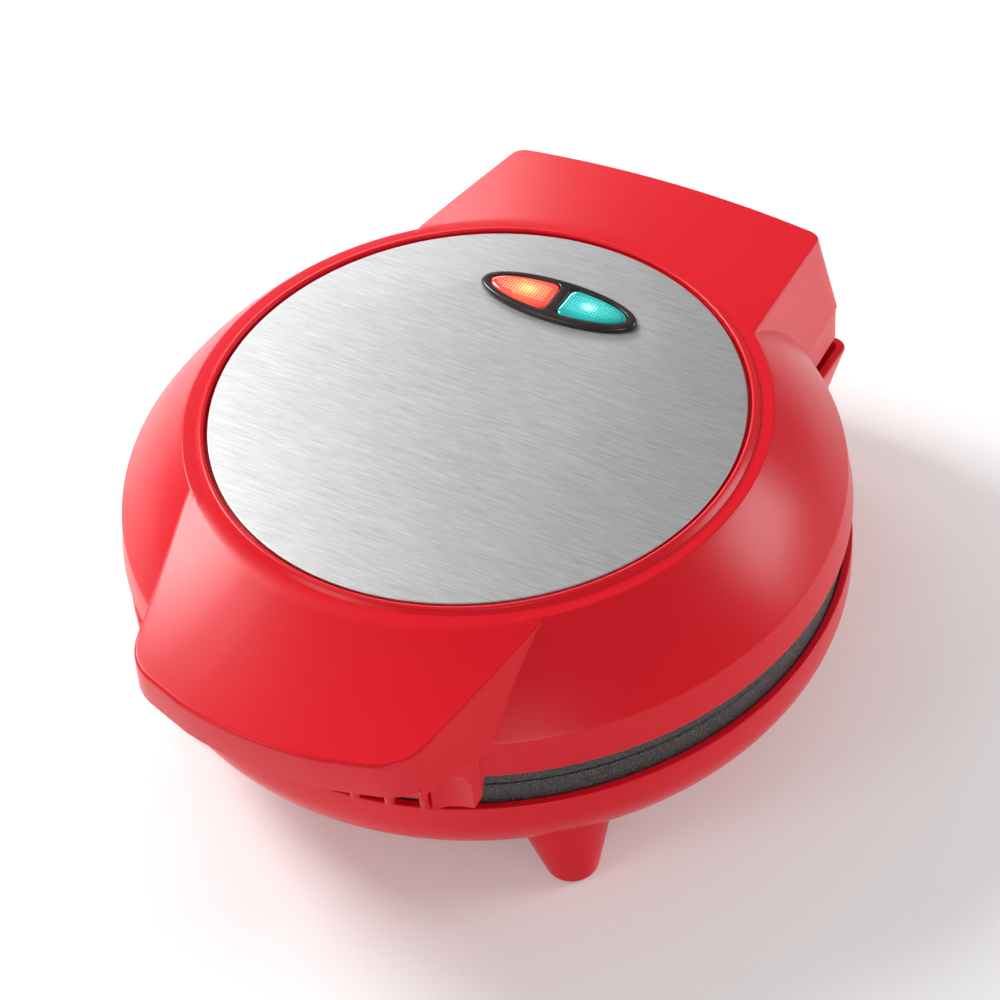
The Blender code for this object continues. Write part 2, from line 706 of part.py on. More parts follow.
def lid_shell(finish):
    made = turned("lid_shell", dome_profile(), ROUND_FACES, finish)
    made = combine(made, handle(), "UNION")
    made = combine(made, hinge_housing(), "UNION")
    made = combine(made, handle_room(WALL), "DIFFERENCE")
    made = combine(made, housing_hollow(), "DIFFERENCE")
    made = combine(made, skirt(), "UNION")
    for side in (-1, 1):
        made = combine(made, grip_end(side), "UNION")
    made = combine(made, back_wall(), "UNION")
    made = combine(made, lid_hollow(), "DIFFERENCE")
    boss_low = PARTING_Z + UPPER_SHIELD_DEPTH + SHEET + SEAT_GAP
    for x, y in shield_bosses():
        boss = rod("boss", SHIELD_BOSS_RADIUS, (x, y, boss_low), (x, y, CEILING_Z + WALL / 2), SMALL_FACES)
        made = combine(made, boss, "UNION")
        hole = rod("hole", SCREW_HOLE_RADIUS, (x, y, boss_low - OVERRUN), (x, y, boss_low + SCREW_LENGTH), SMALL_FACES)
        made = combine(made, hole, "DIFFERENCE")
    for side in (-1, 1):
        made = combine(made, scoop(side), "DIFFERENCE")
        boss_inner = post_inner() + POST_WIDTH + SEAT_GAP
        made = combine(made, knuckle(side, boss_inner, HOUSING_LOW_BACK_WIDTH / 2 - WALL + EDGE_ROUND), "UNION")
        made = combine(made, pin_hole(side, pin_span()[1] + SEAT_GAP), "DIFFERENCE")
    opening = ellipse(BEZEL_HALF_LENGTH - BEZEL_LIP, BEZEL_HALF_WIDTH - BEZEL_LIP, WINDOW_Y, HOLE_FACES * 2)
    cutter = prism("opening", opening, CEILING_Z - OVERRUN, DISC_TOP_Z + OVERRUN)
    return combine(made, cutter, "DIFFERENCE")


def lid_hollow():
    """The room inside the dome, open below."""
    rim = PLATE_RADIUS + PLATE_GAP
    run = Vector((RIM_CREASE_RADIUS - COLLAR_RADIUS, RIM_CREASE_Z - COLLAR_Z)).normalized()
    inward = Vector((run.y, -run.x)) * WALL
    collar = Vector((COLLAR_RADIUS, COLLAR_Z)) + inward
    crease = Vector((RIM_CREASE_RADIUS, RIM_CREASE_Z)) + inward
    slope = (crease.x - collar.x) / (crease.y - collar.y)
    profile = [(0, CEILING_Z), (collar.x + (CEILING_Z - collar.y) * slope, CEILING_Z)]
    profile.append((crease.x, crease.y))
    profile.append((rim, PARTING_Z + PLATE_EDGE_HEIGHT + SEAT_GAP))
    profile += [(rim, SKIRT_LOW_Z - OVERRUN), (0, SKIRT_LOW_Z - OVERRUN)]
    return turned("lid_hollow", profile, ROUND_FACES)


def steel_disc(finish):
    low = DISC_TOP_Z - DISC_THICKNESS
    bevel = DISC_BEVEL
    profile = [(0, DISC_TOP_Z), (DISC_RADIUS - bevel, DISC_TOP_Z), (DISC_RADIUS, DISC_TOP_Z - bevel)]
    profile += [(DISC_RADIUS, low), (0, low)]
    made = turned("steel_disc", profile, ROUND_FACES, finish)
    opening = ellipse(BEZEL_HALF_LENGTH - BEZEL_LIP, BEZEL_HALF_WIDTH - BEZEL_LIP, WINDOW_Y, HOLE_FACES * 2)
    return combine(made, prism("opening", opening, low - OVERRUN, DISC_TOP_Z + OVERRUN), "DIFFERENCE")


def window_outline(side, inset):
    """Half an ellipse beside the divider, with rounded corners at the divider."""
    length = BEZEL_HALF_LENGTH - BEZEL_BAND - inset
    width = BEZEL_HALF_WIDTH - BEZEL_SIDE_BAND - inset
    near = BEZEL_DIVIDER / 2 + inset
    first = asin(min(near / length, 1))
    steps = 14
    curve = []
    for i in range(steps + 1):
        turn = blend(first, pi - first, i / steps)
        curve.append((length * sin(turn), -width * cos(turn)))
    points = [(near, 0, 0), (near, curve[0][1], LENS_CORNER)]
    points += [(x, y, 0) for x, y in curve[1:-1]]
    points += [(near, curve[-1][1], LENS_CORNER), (near, 0, 0)]
    outline = filleted(points, 3)[:-1]
    return [(side * x, WINDOW_Y + y) for x, y in outline]


def indicator_bezel(finish):
    flange = ellipse(BEZEL_HALF_LENGTH, BEZEL_HALF_WIDTH, WINDOW_Y, HOLE_FACES * 2)
    crown = ellipse(BEZEL_HALF_LENGTH - BEZEL_LIP, BEZEL_HALF_WIDTH - BEZEL_LIP, WINDOW_Y, HOLE_FACES * 2)
    fit = BEZEL_LIP + SEAT_GAP
    neck = ellipse(BEZEL_HALF_LENGTH - fit, BEZEL_HALF_WIDTH - fit, WINDOW_Y, HOLE_FACES * 2)
    seat = DISC_TOP_Z + SEAT_GAP
    levels = [(neck, seat - BEZEL_NECK_DEPTH), (neck, seat), (flange, seat)]
    levels += [(flange, seat + BEZEL_HEIGHT / 2), (crown, seat + BEZEL_HEIGHT)]
    made = loft("indicator_bezel", [[(x, y, z) for x, y in ring] for ring, z in levels], finish)
    for side in (-1, 1):
        cutter = prism("window", window_outline(side, 0), seat - BEZEL_NECK_DEPTH - OVERRUN, seat + OVERRUN)
        made = combine(made, cutter, "DIFFERENCE")
    return made


def lens(name, side, finish):
    seat = DISC_TOP_Z + SEAT_GAP
    top = seat + BEZEL_HEIGHT - EDGE_ROUND / 2
    levels = [(0, seat - BEZEL_NECK_DEPTH), (0, top), (1, top + LENS_CROWN / 2), (2, top + LENS_CROWN)]
    sections = []
    for step, z in levels:
        outline = window_outline(side, LENS_CLEARANCE + step * EDGE_ROUND)
        sections.append([(x, y, z) for x, y in outline])
    return loft(name, sections, finish)


def lamp_carrier(finish):
    """An oval cup under the window that holds the two lamps."""
    top = CEILING_Z - SEAT_GAP
    out_x, out_y = BEZEL_HALF_LENGTH + CARRIER_WALL, BEZEL_HALF_WIDTH + CARRIER_WALL
    faces = HOLE_FACES * 2
    made = prism("lamp_carrier", ellipse(out_x, out_y, WINDOW_Y, faces), top - CARRIER_DEPTH, top, finish)
    cup = ellipse(out_x - CARRIER_WALL, out_y - CARRIER_WALL, WINDOW_Y, faces)
    room = prism("room", cup, top - CARRIER_DEPTH + CARRIER_WALL, top + OVERRUN)
    made = combine(made, room, "DIFFERENCE")
    for side in (-1, 1):
        low = (side * LAMP_X, WINDOW_Y, top - CARRIER_DEPTH - OVERRUN)
        high = (side * LAMP_X, WINDOW_Y, top)
        made = combine(made, rod("hole", LAMP_RADIUS + SEAT_GAP, low, high, SMALL_FACES), "DIFFERENCE")
    return made


def lamp(name, side, finish):
    top = DISC_TOP_Z + SEAT_GAP - BEZEL_NECK_DEPTH - SEAT_GAP
    tip = LAMP_RADIUS / 2
    profile = [(0, top), (tip, top - tip / 2), (LAMP_RADIUS, top - LAMP_RADIUS), (LAMP_RADIUS, top - LAMP_LENGTH)]
    profile.append((0, top - LAMP_LENGTH))
    made = turned(name, profile, SMALL_FACES, finish)
    return placed(made, Matrix.Translation((side * LAMP_X, WINDOW_Y, 0)))


def half_moon(inset, arc_steps=14, corner_steps=3):
    """The D-shaped outline of a pocket to the right of the divider, drawn in by inset."""
    edge = DIVIDER_WIDTH / 2 + inset
    radius = POCKET_RADIUS - inset
    corner = POCKET_CORNER - inset / 2
    centre_x = edge + corner
    centre_y = sqrt((radius - corner) ** 2 - centre_x**2)
    swing = atan2(centre_y, centre_x)
    points = []
    for i in range(corner_steps + 1):
        turn = blend(-pi, -swing, i / corner_steps)
        points.append((centre_x + corner * cos(turn), -centre_y + corner * sin(turn)))
    for i in range(1, arc_steps):
        turn = blend(-swing, swing, i / arc_steps)
        points.append((radius * cos(turn), radius * sin(turn)))
    for i in range(corner_steps + 1):
        turn = blend(swing, pi, i / corner_steps)
        points.append((centre_x + corner * cos(turn), centre_y + corner * sin(turn)))
    return points


def pocket(side, grow, start):
    """A dished half-moon solid: grow 0 is the hollow, the wall's thickness is its back."""
    sections = []
    for depth_share, slope_share in POCKET_LEVEL_SHARES:
        depth = (POCKET_DEPTH + grow) * depth_share
        if depth_share == 0:
            depth = start
        outline = half_moon(POCKET_SLOPE * slope_share - grow)
        sections.append([(side * x, y, depth) for x, y in outline])
    return loft("pocket", sections)


def cooking_plate(name, side, depth, finish):
    """A cast plate with two half-moon pockets. side is 1 above the parting plane and -1 below."""
    face = SEAT_GAP / 2
    back = face + PLATE_WEB
    rim = PLATE_RADIUS
    edge = rim - PLATE_EDGE_THICKNESS
    profile = [(0, face), (rim - PLATE_BEVEL, face), (rim, face + PLATE_BEVEL), (rim, PLATE_EDGE_HEIGHT)]
    profile += [(edge, PLATE_EDGE_HEIGHT), (edge, back), (0, back)]
    made = turned(name, profile, PLATE_FACES, finish)
    for half in (-1, 1):
        made = combine(made, pocket(half, POCKET_WALL, back - PLATE_WEB / 2), "UNION")
    for half in (-1, 1):
        made = combine(made, pocket(half, 0, face - OVERRUN), "DIFFERENCE")
    for y in (-PLATE_BOSS_Y, PLATE_BOSS_Y):
        top = depth - SEAT_GAP
        boss = rod("boss", PLATE_BOSS_RADIUS, (0, y, back - PLATE_WEB / 2), (0, y, top), SMALL_FACES)
        made = combine(made, boss, "UNION")
        low = top - SCREW_LENGTH
        hole = rod("hole", SCREW_HOLE_RADIUS, (0, y, low), (0, y, top + OVERRUN), SMALL_FACES)
        made = combine(made, hole, "DIFFERENCE")
    return placed(made, Matrix.Translation((0, 0, PARTING_Z)) @ Matrix.Scale(side, 4, (0, 0, 1)))


def heating_element(name, side, finish):
    """A tubular heater round both pockets, open at the hinge, with its ends turned up."""
    pocket_out = POCKET_RADIUS + POCKET_WALL
    edge_in = PLATE_RADIUS - PLATE_EDGE_THICKNESS
    radius = (pocket_out + edge_in) / 2
    height = SEAT_GAP / 2 + PLATE_WEB + SEAT_GAP + ELEMENT_RADIUS
    points = []
    steps = 32
    for i in range(steps + 1):
        turn = pi / 2 + ELEMENT_OPEN_ANGLE + (2 * pi - 2 * ELEMENT_OPEN_ANGLE) * i / steps
        points.append((radius * cos(turn), radius * sin(turn), height))
    first, last = points[0], points[-1]
    end = height + ELEMENT_END_HEIGHT
    points = [(first[0], first[1], end), *points, (last[0], last[1], end)]
    curve = bpy.data.curves.new(name, "CURVE")
    curve.dimensions = "3D"
    curve.bevel_depth = ELEMENT_RADIUS
    curve.bevel_resolution = 1
    curve.use_fill_caps = True
    spline = curve.splines.new("POLY")
    spline.points.add(len(points) - 1)
    for point, place in zip(spline.points, points):
        point.co = Vector((place[0], place[1], PARTING_Z + side * place[2])).to_4d()
    made = bpy.data.objects.new(name, curve)
    bpy.context.scene.collection.objects.link(made)
    curve.materials.append(finish)
    return made


def heat_shield(name, side, depth, finish):
    """A pressed pan behind a plate, resting on the plate's edge."""
    low = PLATE_EDGE_HEIGHT + SEAT_GAP
    inner = SHIELD_FLANGE_RADIUS - SHIELD_FLANGE_WIDTH
    profile = [(0, depth + SHEET), (SHIELD_FLOOR_RADIUS, depth + SHEET), (inner + SHEET, low + SHEET)]
    profile += [(SHIELD_FLANGE_RADIUS, low + SHEET), (SHIELD_FLANGE_RADIUS, low), (inner, low)]
    profile += [(SHIELD_FLOOR_RADIUS - SHEET, depth), (0, depth)]
    made = turned(name, profile, SHIELD_FACES, finish)
    holes = shield_bosses() + [(0, -PLATE_BOSS_Y), (0, PLATE_BOSS_Y)]
    for x, y in holes:
        hole = rod("hole", SCREW_HOLE_RADIUS, (x, y, depth - OVERRUN), (x, y, depth + OVERRUN), SMALL_FACES)
        made = combine(made, hole, "DIFFERENCE")
    return placed(made, Matrix.Translation((0, 0, PARTING_Z)) @ Matrix.Scale(side, 4, (0, 0, 1)))


def screw(name, x, y, head_z, direction, finish):
    """A pan-head screw. Its head's underside is at head_z and its shank runs along direction."""
    head = SCREW_HEAD_HEIGHT
    profile = [(0, head), (SCREW_HEAD_RADIUS, head), (SCREW_HEAD_RADIUS, 0)]
    profile += [(SCREW_RADIUS, 0), (SCREW_RADIUS, -SCREW_LENGTH), (0, -SCREW_LENGTH)]
    made = turned(name, profile, SMALL_FACES, finish)
    turn = Matrix.Rotation(pi, 4, "X") if direction > 0 else Matrix.Identity(4)
    return placed(made, Matrix.Translation((x, y, head_z)) @ turn)


def bowl_profile(outer_radius, floor_radius, top, floor, grow):
    """The base bowl's profile: a short upright band, then a quarter of an ellipse to the floor."""
    band = top - BASE_BAND_HEIGHT
    steps = 6
    profile = [(outer_radius, top)]
    for i in range(steps + 1):
        turn = pi / 2 * i / steps
        radius = floor_radius + (outer_radius - floor_radius) * cos(turn)
        profile.append((radius, band - (band - floor) * sin(turn)))
    return profile + [(0, floor), (0, top + grow)]


def foot(x, y, inset=0, levels=()):
    """A tapered foot whose top leans towards the bowl's axis. levels are (height, drawn in) pairs."""
    middle = Vector((x, y))
    inward = -middle.normalized()
    sections = []
    for height, drawn_in in levels:
        share = (height - FOOT_LOW_Z) / (FOOT_TOP_Z - FOOT_LOW_Z)
        radius = blend(FOOT_TIP_RADIUS, FOOT_TOP_RADIUS, share) - inset - drawn_in
        centre = middle + inward * FOOT_LEAN * share
        turns = [2 * pi * i / HOLE_FACES for i in range(HOLE_FACES)]
        sections.append([(centre.x + radius * cos(t), centre.y + radius * sin(t), height) for t in turns])
    return loft("foot", sections)


def outer_foot(x, y):
    low, rounding = FOOT_LOW_Z, FOOT_ROUND
    levels = [(low, rounding), (low + rounding * FOOT_ROUND_SHARE, rounding * FOOT_ROUND_SHARE)]
    levels += [(low + rounding, 0), (FOOT_TOP_Z, 0)]
    return foot(x, y, 0, levels)


def foot_room(x, y):
    """The hollow inside a foot, open to the bowl."""
    return foot(x, y, WALL, [(PAD_HEIGHT + SEAT_GAP + WALL, 0), (FOOT_TOP_Z + OVERRUN, 0)])


def box_outlines(inset=0):
    top = bowed_outline(BOX_FRONT_Y, BOX_TOP_WIDTH, BOX_REACH, BOX_TOP_WIDTH, BOX_BACK_BOW, BOX_CORNER_RADIUS, inset)
    low = bowed_outline(BOX_FRONT_Y, BOX_LOW_WIDTH, BOX_LOW_REACH, BOX_LOW_WIDTH, BOX_BACK_BOW, BOX_CORNER_RADIUS, inset)
    return top, below(top, low)


def hinge_box():
    top, low = box_outlines()
    sections = []
    for (tx, ty), (lx, ly) in zip(top, low):
        reach = hypot(tx, ty)
        rx, ry = tx / reach * BOX_ROOT_RADIUS, ty / reach * BOX_ROOT_RADIUS
        sections.append([(rx, ry, BOX_TOP_Z), (tx, ty, BOX_TOP_Z), (lx, ly, BOX_LOW_Z), (rx, ry, BOX_LOW_Z)])
    return loft("hinge_box", sections)


def box_hollow():
    """The room in the hinge box behind the bowl's wall, open above."""
    top, low = box_outlines(WALL)
    root = BODY_RADIUS + EDGE_ROUND
    rise = (OVERRUN + BOX_TOP_Z - BOX_LOW_Z) / (BOX_TOP_Z - BOX_LOW_Z)
    sections = []
    for (tx, ty), (lx, ly) in zip(top, low):
        if hypot(lx, ly) < root + WALL:
            continue
        hx, hy = blend(lx, tx, rise), blend(ly, ty, rise)
        reach = hypot(tx, ty)
        rx, ry = tx / reach * root, ty / reach * root
        high, floor = BOX_TOP_Z + OVERRUN, BOX_LOW_Z + WALL
        sections.append([(rx, ry, high), (hx, hy, high), (lx, ly, floor), (rx, ry, floor)])
    return loft("box_hollow", sections)


def hinge_post(side):
    inner = post_inner()
    ends = sorted((side * (inner + SEAT_GAP), side * (inner + POST_WIDTH - SEAT_GAP)))
    low = (ends[0], HINGE_Y - POST_DEPTH, BOX_LOW_Z + WALL / 2)
    made = block("post", low, (ends[1], HINGE_Y, HINGE_Z - EDGE_ROUND))
    return combine(made, knuckle(side, inner, inner + POST_WIDTH), "UNION")


def base_housing(finish):
    outer = bowl_profile(BODY_RADIUS, BASE_FLOOR_RADIUS, BASE_RIM_Z, BASE_FLOOR_Z, 0)
    made = turned("base_housing", outer, ROUND_FACES, finish)
    made = combine(made, hinge_box(), "UNION")
    for x in (-FOOT_X, FOOT_X):
        for y in (-FOOT_Y, FOOT_Y):
            made = combine(made, outer_foot(x, y), "UNION")
    rim = PLATE_RADIUS + PLATE_GAP
    inner = bowl_profile(rim, BASE_FLOOR_RADIUS, BASE_RIM_Z, BASE_FLOOR_Z + WALL, OVERRUN)
    inner.insert(0, (rim, BASE_RIM_Z + OVERRUN))
    made = combine(made, turned("bowl_hollow", inner, ROUND_FACES), "DIFFERENCE")
    made = combine(made, box_hollow(), "DIFFERENCE")
    half, high = WIRE_WINDOW_WIDTH / 2, BOX_LOW_Z + WALL + OVERRUN + WIRE_WINDOW_HEIGHT
    low = (-half, BASE_FLOOR_RADIUS, BOX_LOW_Z + WALL + OVERRUN)
    window = block("wire_window", low, (half, BODY_RADIUS + EDGE_ROUND + OVERRUN, high))
    made = combine(made, window, "DIFFERENCE")
    for side in (-1, 1):
        made = combine(made, hinge_post(side), "UNION")
        made = combine(made, pin_hole(side, post_inner() + POST_WIDTH + OVERRUN), "DIFFERENCE")
    boss_top = PARTING_Z - LOWER_SHIELD_DEPTH - SHEET - SEAT_GAP
    floor = BASE_FLOOR_Z + WALL
    for x, y in shield_bosses():
        boss = rod("boss", SHIELD_BOSS_RADIUS, (x, y, floor - WALL / 2), (x, y, boss_top), SMALL_FACES)
        made = combine(made, boss, "UNION")
        hole_low = boss_top - SCREW_LENGTH + EDGE_ROUND
        hole = rod("hole", SCREW_HOLE_RADIUS, (x, y, hole_low), (x, y, boss_top + OVERRUN), SMALL_FACES)
        made = combine(made, hole, "DIFFERENCE")
    for x in (-FOOT_X, FOOT_X):
        for y in (-FOOT_Y, FOOT_Y):
            top = PAD_HEIGHT + SEAT_GAP
            seat = rod("seat", PAD_RADIUS + SEAT_GAP, (x, y, -OVERRUN), (x, y, top), SMALL_FACES)
            made = combine(made, seat, "DIFFERENCE")
            made = combine(made, foot_room(x, y), "DIFFERENCE")
    hole = rod("hole", GLAND_NECK_RADIUS + SEAT_GAP, (0, 0, -OVERRUN - WALL), (0, 0, OVERRUN), HOLE_FACES)
    return combine(made, placed(hole, gland_place()), "DIFFERENCE")


def gland_place():
    """From the Z axis to the outward normal of the hinge box's sloping back wall."""
    slope = (BOX_REACH - BOX_LOW_REACH) / (BOX_TOP_Z - BOX_LOW_Z)
    wall_y = BOX_REACH - slope * (BOX_TOP_Z - GLAND_Z)
    return Matrix.Translation((0, wall_y, GLAND_Z)) @ Matrix.Rotation(-pi / 2 - atan(slope), 4, "X")


def cord_gland(finish):
    """The bush in the back wall through which a cord would enter."""
    seat, thick = SEAT_GAP, GLAND_FLANGE_THICKNESS
    inside = -WALL - EDGE_ROUND
    profile = [
        (GLAND_BORE_RADIUS, seat + thick),
        (GLAND_FLANGE_RADIUS - thick / 2, seat + thick),
        (GLAND_FLANGE_RADIUS, seat + thick / 2),
        (GLAND_FLANGE_RADIUS, seat),
        (GLAND_NECK_RADIUS, seat),
        (GLAND_NECK_RADIUS, inside),
        (GLAND_BORE_RADIUS, inside),
    ]
    return placed(turned("cord_gland", profile, HOLE_FACES, finish), gland_place())


def foot_pad(name, x, y, finish):
    bevel = PAD_BEVEL
    profile = [(0, PAD_HEIGHT), (PAD_RADIUS, PAD_HEIGHT), (PAD_RADIUS, bevel), (PAD_RADIUS - bevel, 0), (0, 0)]
    return placed(turned(name, profile, SMALL_FACES, finish), Matrix.Translation((x, y, 0)))


def hinge_pin(name, side, finish):
    inner, outer = pin_span()
    bevel = PIN_BEVEL
    length = outer - inner
    profile = [(0, length), (PIN_RADIUS - bevel, length), (PIN_RADIUS, length - bevel)]
    profile += [(PIN_RADIUS, bevel), (PIN_RADIUS - bevel, 0), (0, 0)]
    made = turned(name, profile, HOLE_FACES, finish)
    turn = Matrix.Rotation(side * pi / 2, 4, "Y")
    return placed(made, Matrix.Translation((side * inner, HINGE_Y, HINGE_Z)) @ turn)


def plate_back_z():
    """Underside of the lower plate's pockets."""
    return PARTING_Z - POCKET_DEPTH - POCKET_WALL


def thermostat(finish):
    seat = plate_back_z() - SEAT_GAP
    flange = seat - THERMOSTAT_FLANGE_HEIGHT
    low = flange - THERMOSTAT_BODY_HEIGHT
    profile = [(0, seat), (THERMOSTAT_FLANGE_RADIUS, seat), (THERMOSTAT_FLANGE_RADIUS, flange)]
    profile += [(THERMOSTAT_BODY_RADIUS, flange), (THERMOSTAT_BODY_RADIUS, low), (0, low)]
    made = turned("thermostat", profile, HOLE_FACES, finish)
    for side in (-1, 1):
        near = side * THERMOSTAT_BODY_RADIUS / 2
        far = near + side * BLADE_LENGTH
        middle = low + BLADE_THICKNESS
        corner = (-BLADE_WIDTH / 2, min(near, far), middle - BLADE_THICKNESS / 2)
        blade = block("blade", corner, (BLADE_WIDTH / 2, max(near, far), middle + BLADE_THICKNESS / 2))
        made = combine(made, blade, "UNION")
    return placed(made, Matrix.Translation((THERMOSTAT_X, 0, 0)))


def thermal_fuse(finish):
    half, lead = FUSE_LENGTH / 2, FUSE_LENGTH / 2 + FUSE_LEAD_LENGTH
    bevel = FUSE_RADIUS / 2
    profile = [(0, lead), (FUSE_LEAD_RADIUS, lead), (FUSE_LEAD_RADIUS, half), (FUSE_RADIUS, half - bevel)]
    profile += [(FUSE_RADIUS, bevel - half), (FUSE_LEAD_RADIUS, -half), (FUSE_LEAD_RADIUS, -lead), (0, -lead)]
    made = turned("thermal_fuse", profile, SMALL_FACES, finish)
    centre = (-FUSE_X, 0, plate_back_z() - SEAT_GAP - FUSE_RADIUS)
    return placed(made, Matrix.Translation(centre) @ Matrix.Rotation(pi / 2, 4, "X"))


def terminal_block(finish):
    floor = BOX_LOW_Z + WALL + SEAT_GAP
    front = BODY_RADIUS + EDGE_ROUND + WALL
    half = TERMINAL_WIDTH / 2
    low, high = (-half, front, floor), (half, front + TERMINAL_DEPTH, floor + TERMINAL_HEIGHT)
    made = block("terminal_block", low, high, finish)
    pitch = TERMINAL_WIDTH / TERMINAL_COUNT
    for i in range(TERMINAL_COUNT):
        x = -half + pitch * (i + 0.5)
        y = front + TERMINAL_DEPTH / 2
        middle = floor + TERMINAL_HEIGHT / 2
        start = (x, y, middle + TERMINAL_HOLE_RADIUS)
        drill = rod("drill", TERMINAL_HOLE_RADIUS, start, (x, y, high[2] + OVERRUN), SMALL_FACES)
        made = combine(made, drill, "DIFFERENCE")
    return made


def heating_half(prefix, side, depth, black, grey, steel):
    """Plate, heater, shield and their screws, on one side of the parting plane."""
    made = [
        cooking_plate(f"{prefix}_cooking_plate", side, depth, black),
        heating_element(f"{prefix}_heating_element", side, grey),
        heat_shield(f"{prefix}_heat_shield", side, depth, steel),
    ]
    for i, (x, y) in enumerate(shield_bosses(), 1):
        head_z = PARTING_Z + side * (depth - SEAT_GAP)
        made.append(screw(f"{prefix}_shield_screw_{i}", x, y, head_z, side, steel))
    for place, y in (("front", -PLATE_BOSS_Y), ("back", PLATE_BOSS_Y)):
        head_z = PARTING_Z + side * (depth + SHEET + SEAT_GAP)
        made.append(screw(f"{prefix}_plate_screw_{place}", 0, y, head_z, -side, steel))
    return made


def pivot(name, parent, y, z):
    """An empty that carries one rigid half of the part."""
    made = bpy.data.objects.new(name, None)
    bpy.context.scene.collection.objects.link(made)
    made.location = (0, y, z)
    made.parent = parent
    return made


def carried(pieces, parent, y, z):
    """Gives each piece its origin on the parent's, so that it turns with it."""
    for piece in pieces:
        piece.data.transform(Matrix.Translation((0, -y, -z)))
        piece.parent = parent


def main():
    clear_scene()
    red = material("red_gloss_plastic", (0.72, 0.012, 0.022), 0.22)
    steel = material("brushed_steel", (0.66, 0.66, 0.66), 0.34, 1.0)
    black = material("non_stick_coating", (0.020, 0.020, 0.021), 0.55)
    dark = material("dark_gloss_plastic", (0.030, 0.018, 0.016), 0.20)
    power = material("red_lens", (0.90, 0.10, 0.05), 0.15, 0.0, 0.4)
    ready = material("green_lens", (0.0, 0.42, 0.38), 0.15, 0.0, 0.2)
    glass = material("lamp_glass", (0.85, 0.75, 0.65), 0.08)
    cream = material("heat_resistant_plastic", (0.75, 0.72, 0.65), 0.5)
    zinc = material("zinc_plated_steel", (0.62, 0.62, 0.60), 0.4, 1.0)
    grey = material("heater_tube", (0.25, 0.26, 0.25), 0.5, 0.8)
    rubber = material("rubber", (0.03, 0.03, 0.03), 0.85)

    lid = [
        lid_shell(red),
        steel_disc(steel),
        indicator_bezel(dark),
        lens("power_lens", -1, power),
        lens("ready_lens", 1, ready),
        lamp_carrier(cream),
        lamp("power_lamp", -1, glass),
        lamp("ready_lamp", 1, glass),
    ]
    lid += heating_half("upper", 1, UPPER_SHIELD_DEPTH, black, grey, zinc)
    base = [
        base_housing(red),
        thermostat(cream),
        thermal_fuse(zinc),
        terminal_block(cream),
        cord_gland(rubber),
        hinge_pin("hinge_pin_left", -1, zinc),
        hinge_pin("hinge_pin_right", 1, zinc),
    ]
    base += heating_half("lower", -1, LOWER_SHIELD_DEPTH, black, grey, zinc)
    corners = [(x, y) for y in (-FOOT_Y, FOOT_Y) for x in (-FOOT_X, FOOT_X)]
    names = ("front_left", "front_right", "back_left", "back_right")
    for place, (x, y) in zip(names, corners):
        base.append(foot_pad(f"foot_pad_{place}", x, y, rubber))

    whole = pivot("omelette_maker", None, SHIFT_Y, 0)
    carried(lid, pivot("lid_hinge", whole, HINGE_Y, HINGE_Z), HINGE_Y, HINGE_Z)
    carried(base, pivot("base_origin", whole, 0, 0), 0, 0)
    for piece in lid + base:
        if piece.type == "MESH":
            piece.data.shade_smooth()
            piece.data.set_sharp_from_angle(angle=SMOOTH_ANGLE)


main()
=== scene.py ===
"""Looks of the electric omelette maker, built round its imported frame.

Lengths are in metres. Shapes are made about the bowl's axis, with the table at height zero and the
hinge towards +Y, and each finished piece is then moved to where the frame has it.
"""

import json
from math import asin, atan, atan2, cos, hypot, pi, radians, sin, sqrt

import bmesh
import bpy
from mathutils import Matrix, Vector


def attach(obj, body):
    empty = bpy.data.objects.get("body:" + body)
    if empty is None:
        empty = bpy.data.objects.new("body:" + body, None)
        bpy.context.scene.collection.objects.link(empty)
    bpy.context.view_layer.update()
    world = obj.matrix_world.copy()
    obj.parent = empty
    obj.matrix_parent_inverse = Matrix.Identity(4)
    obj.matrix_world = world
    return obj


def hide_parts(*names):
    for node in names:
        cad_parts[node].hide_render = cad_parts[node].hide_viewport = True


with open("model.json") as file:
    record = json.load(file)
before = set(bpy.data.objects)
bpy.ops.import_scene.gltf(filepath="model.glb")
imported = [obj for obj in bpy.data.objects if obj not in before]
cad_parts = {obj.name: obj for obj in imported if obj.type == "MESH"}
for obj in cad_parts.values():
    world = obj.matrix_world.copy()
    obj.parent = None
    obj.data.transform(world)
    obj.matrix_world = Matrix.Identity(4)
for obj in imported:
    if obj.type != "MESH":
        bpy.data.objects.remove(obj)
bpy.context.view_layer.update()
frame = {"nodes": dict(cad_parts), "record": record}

# Walls and clearances
WALL = 0.0025
RIM_WALL = 0.0022
PLATE_GAP = 0.0004
SEAT_GAP = 0.0003
OVERRUN = 0.0040
EDGE_ROUND = 0.0010
TOP_ROUND = 0.0012
CREASE_ROUND = 0.0022
HAIR = 0.00003
CORNER_REACH_SHARE = 1.1

# Heights, from the table up
FLOOR_CLEARANCE = 0.0130
BOWL_HEIGHT = 0.03025
BASE_TO_PARTING = 0.00725
PARTING_TO_LID = 0.0065
RIM_BAND_HEIGHT = 0.0113
DOME_HEIGHT = 0.0240
DISC_STEP = 0.0010
BASE_FLOOR_Z = FLOOR_CLEARANCE
BASE_RIM_Z = BASE_FLOOR_Z + BOWL_HEIGHT
PARTING_Z = BASE_RIM_Z + BASE_TO_PARTING
LID_RIM_Z = PARTING_Z + PARTING_TO_LID
RIM_CREASE_Z = LID_RIM_Z + RIM_BAND_HEIGHT
COLLAR_Z = RIM_CREASE_Z + DOME_HEIGHT
DISC_TOP_Z = COLLAR_Z + DISC_STEP

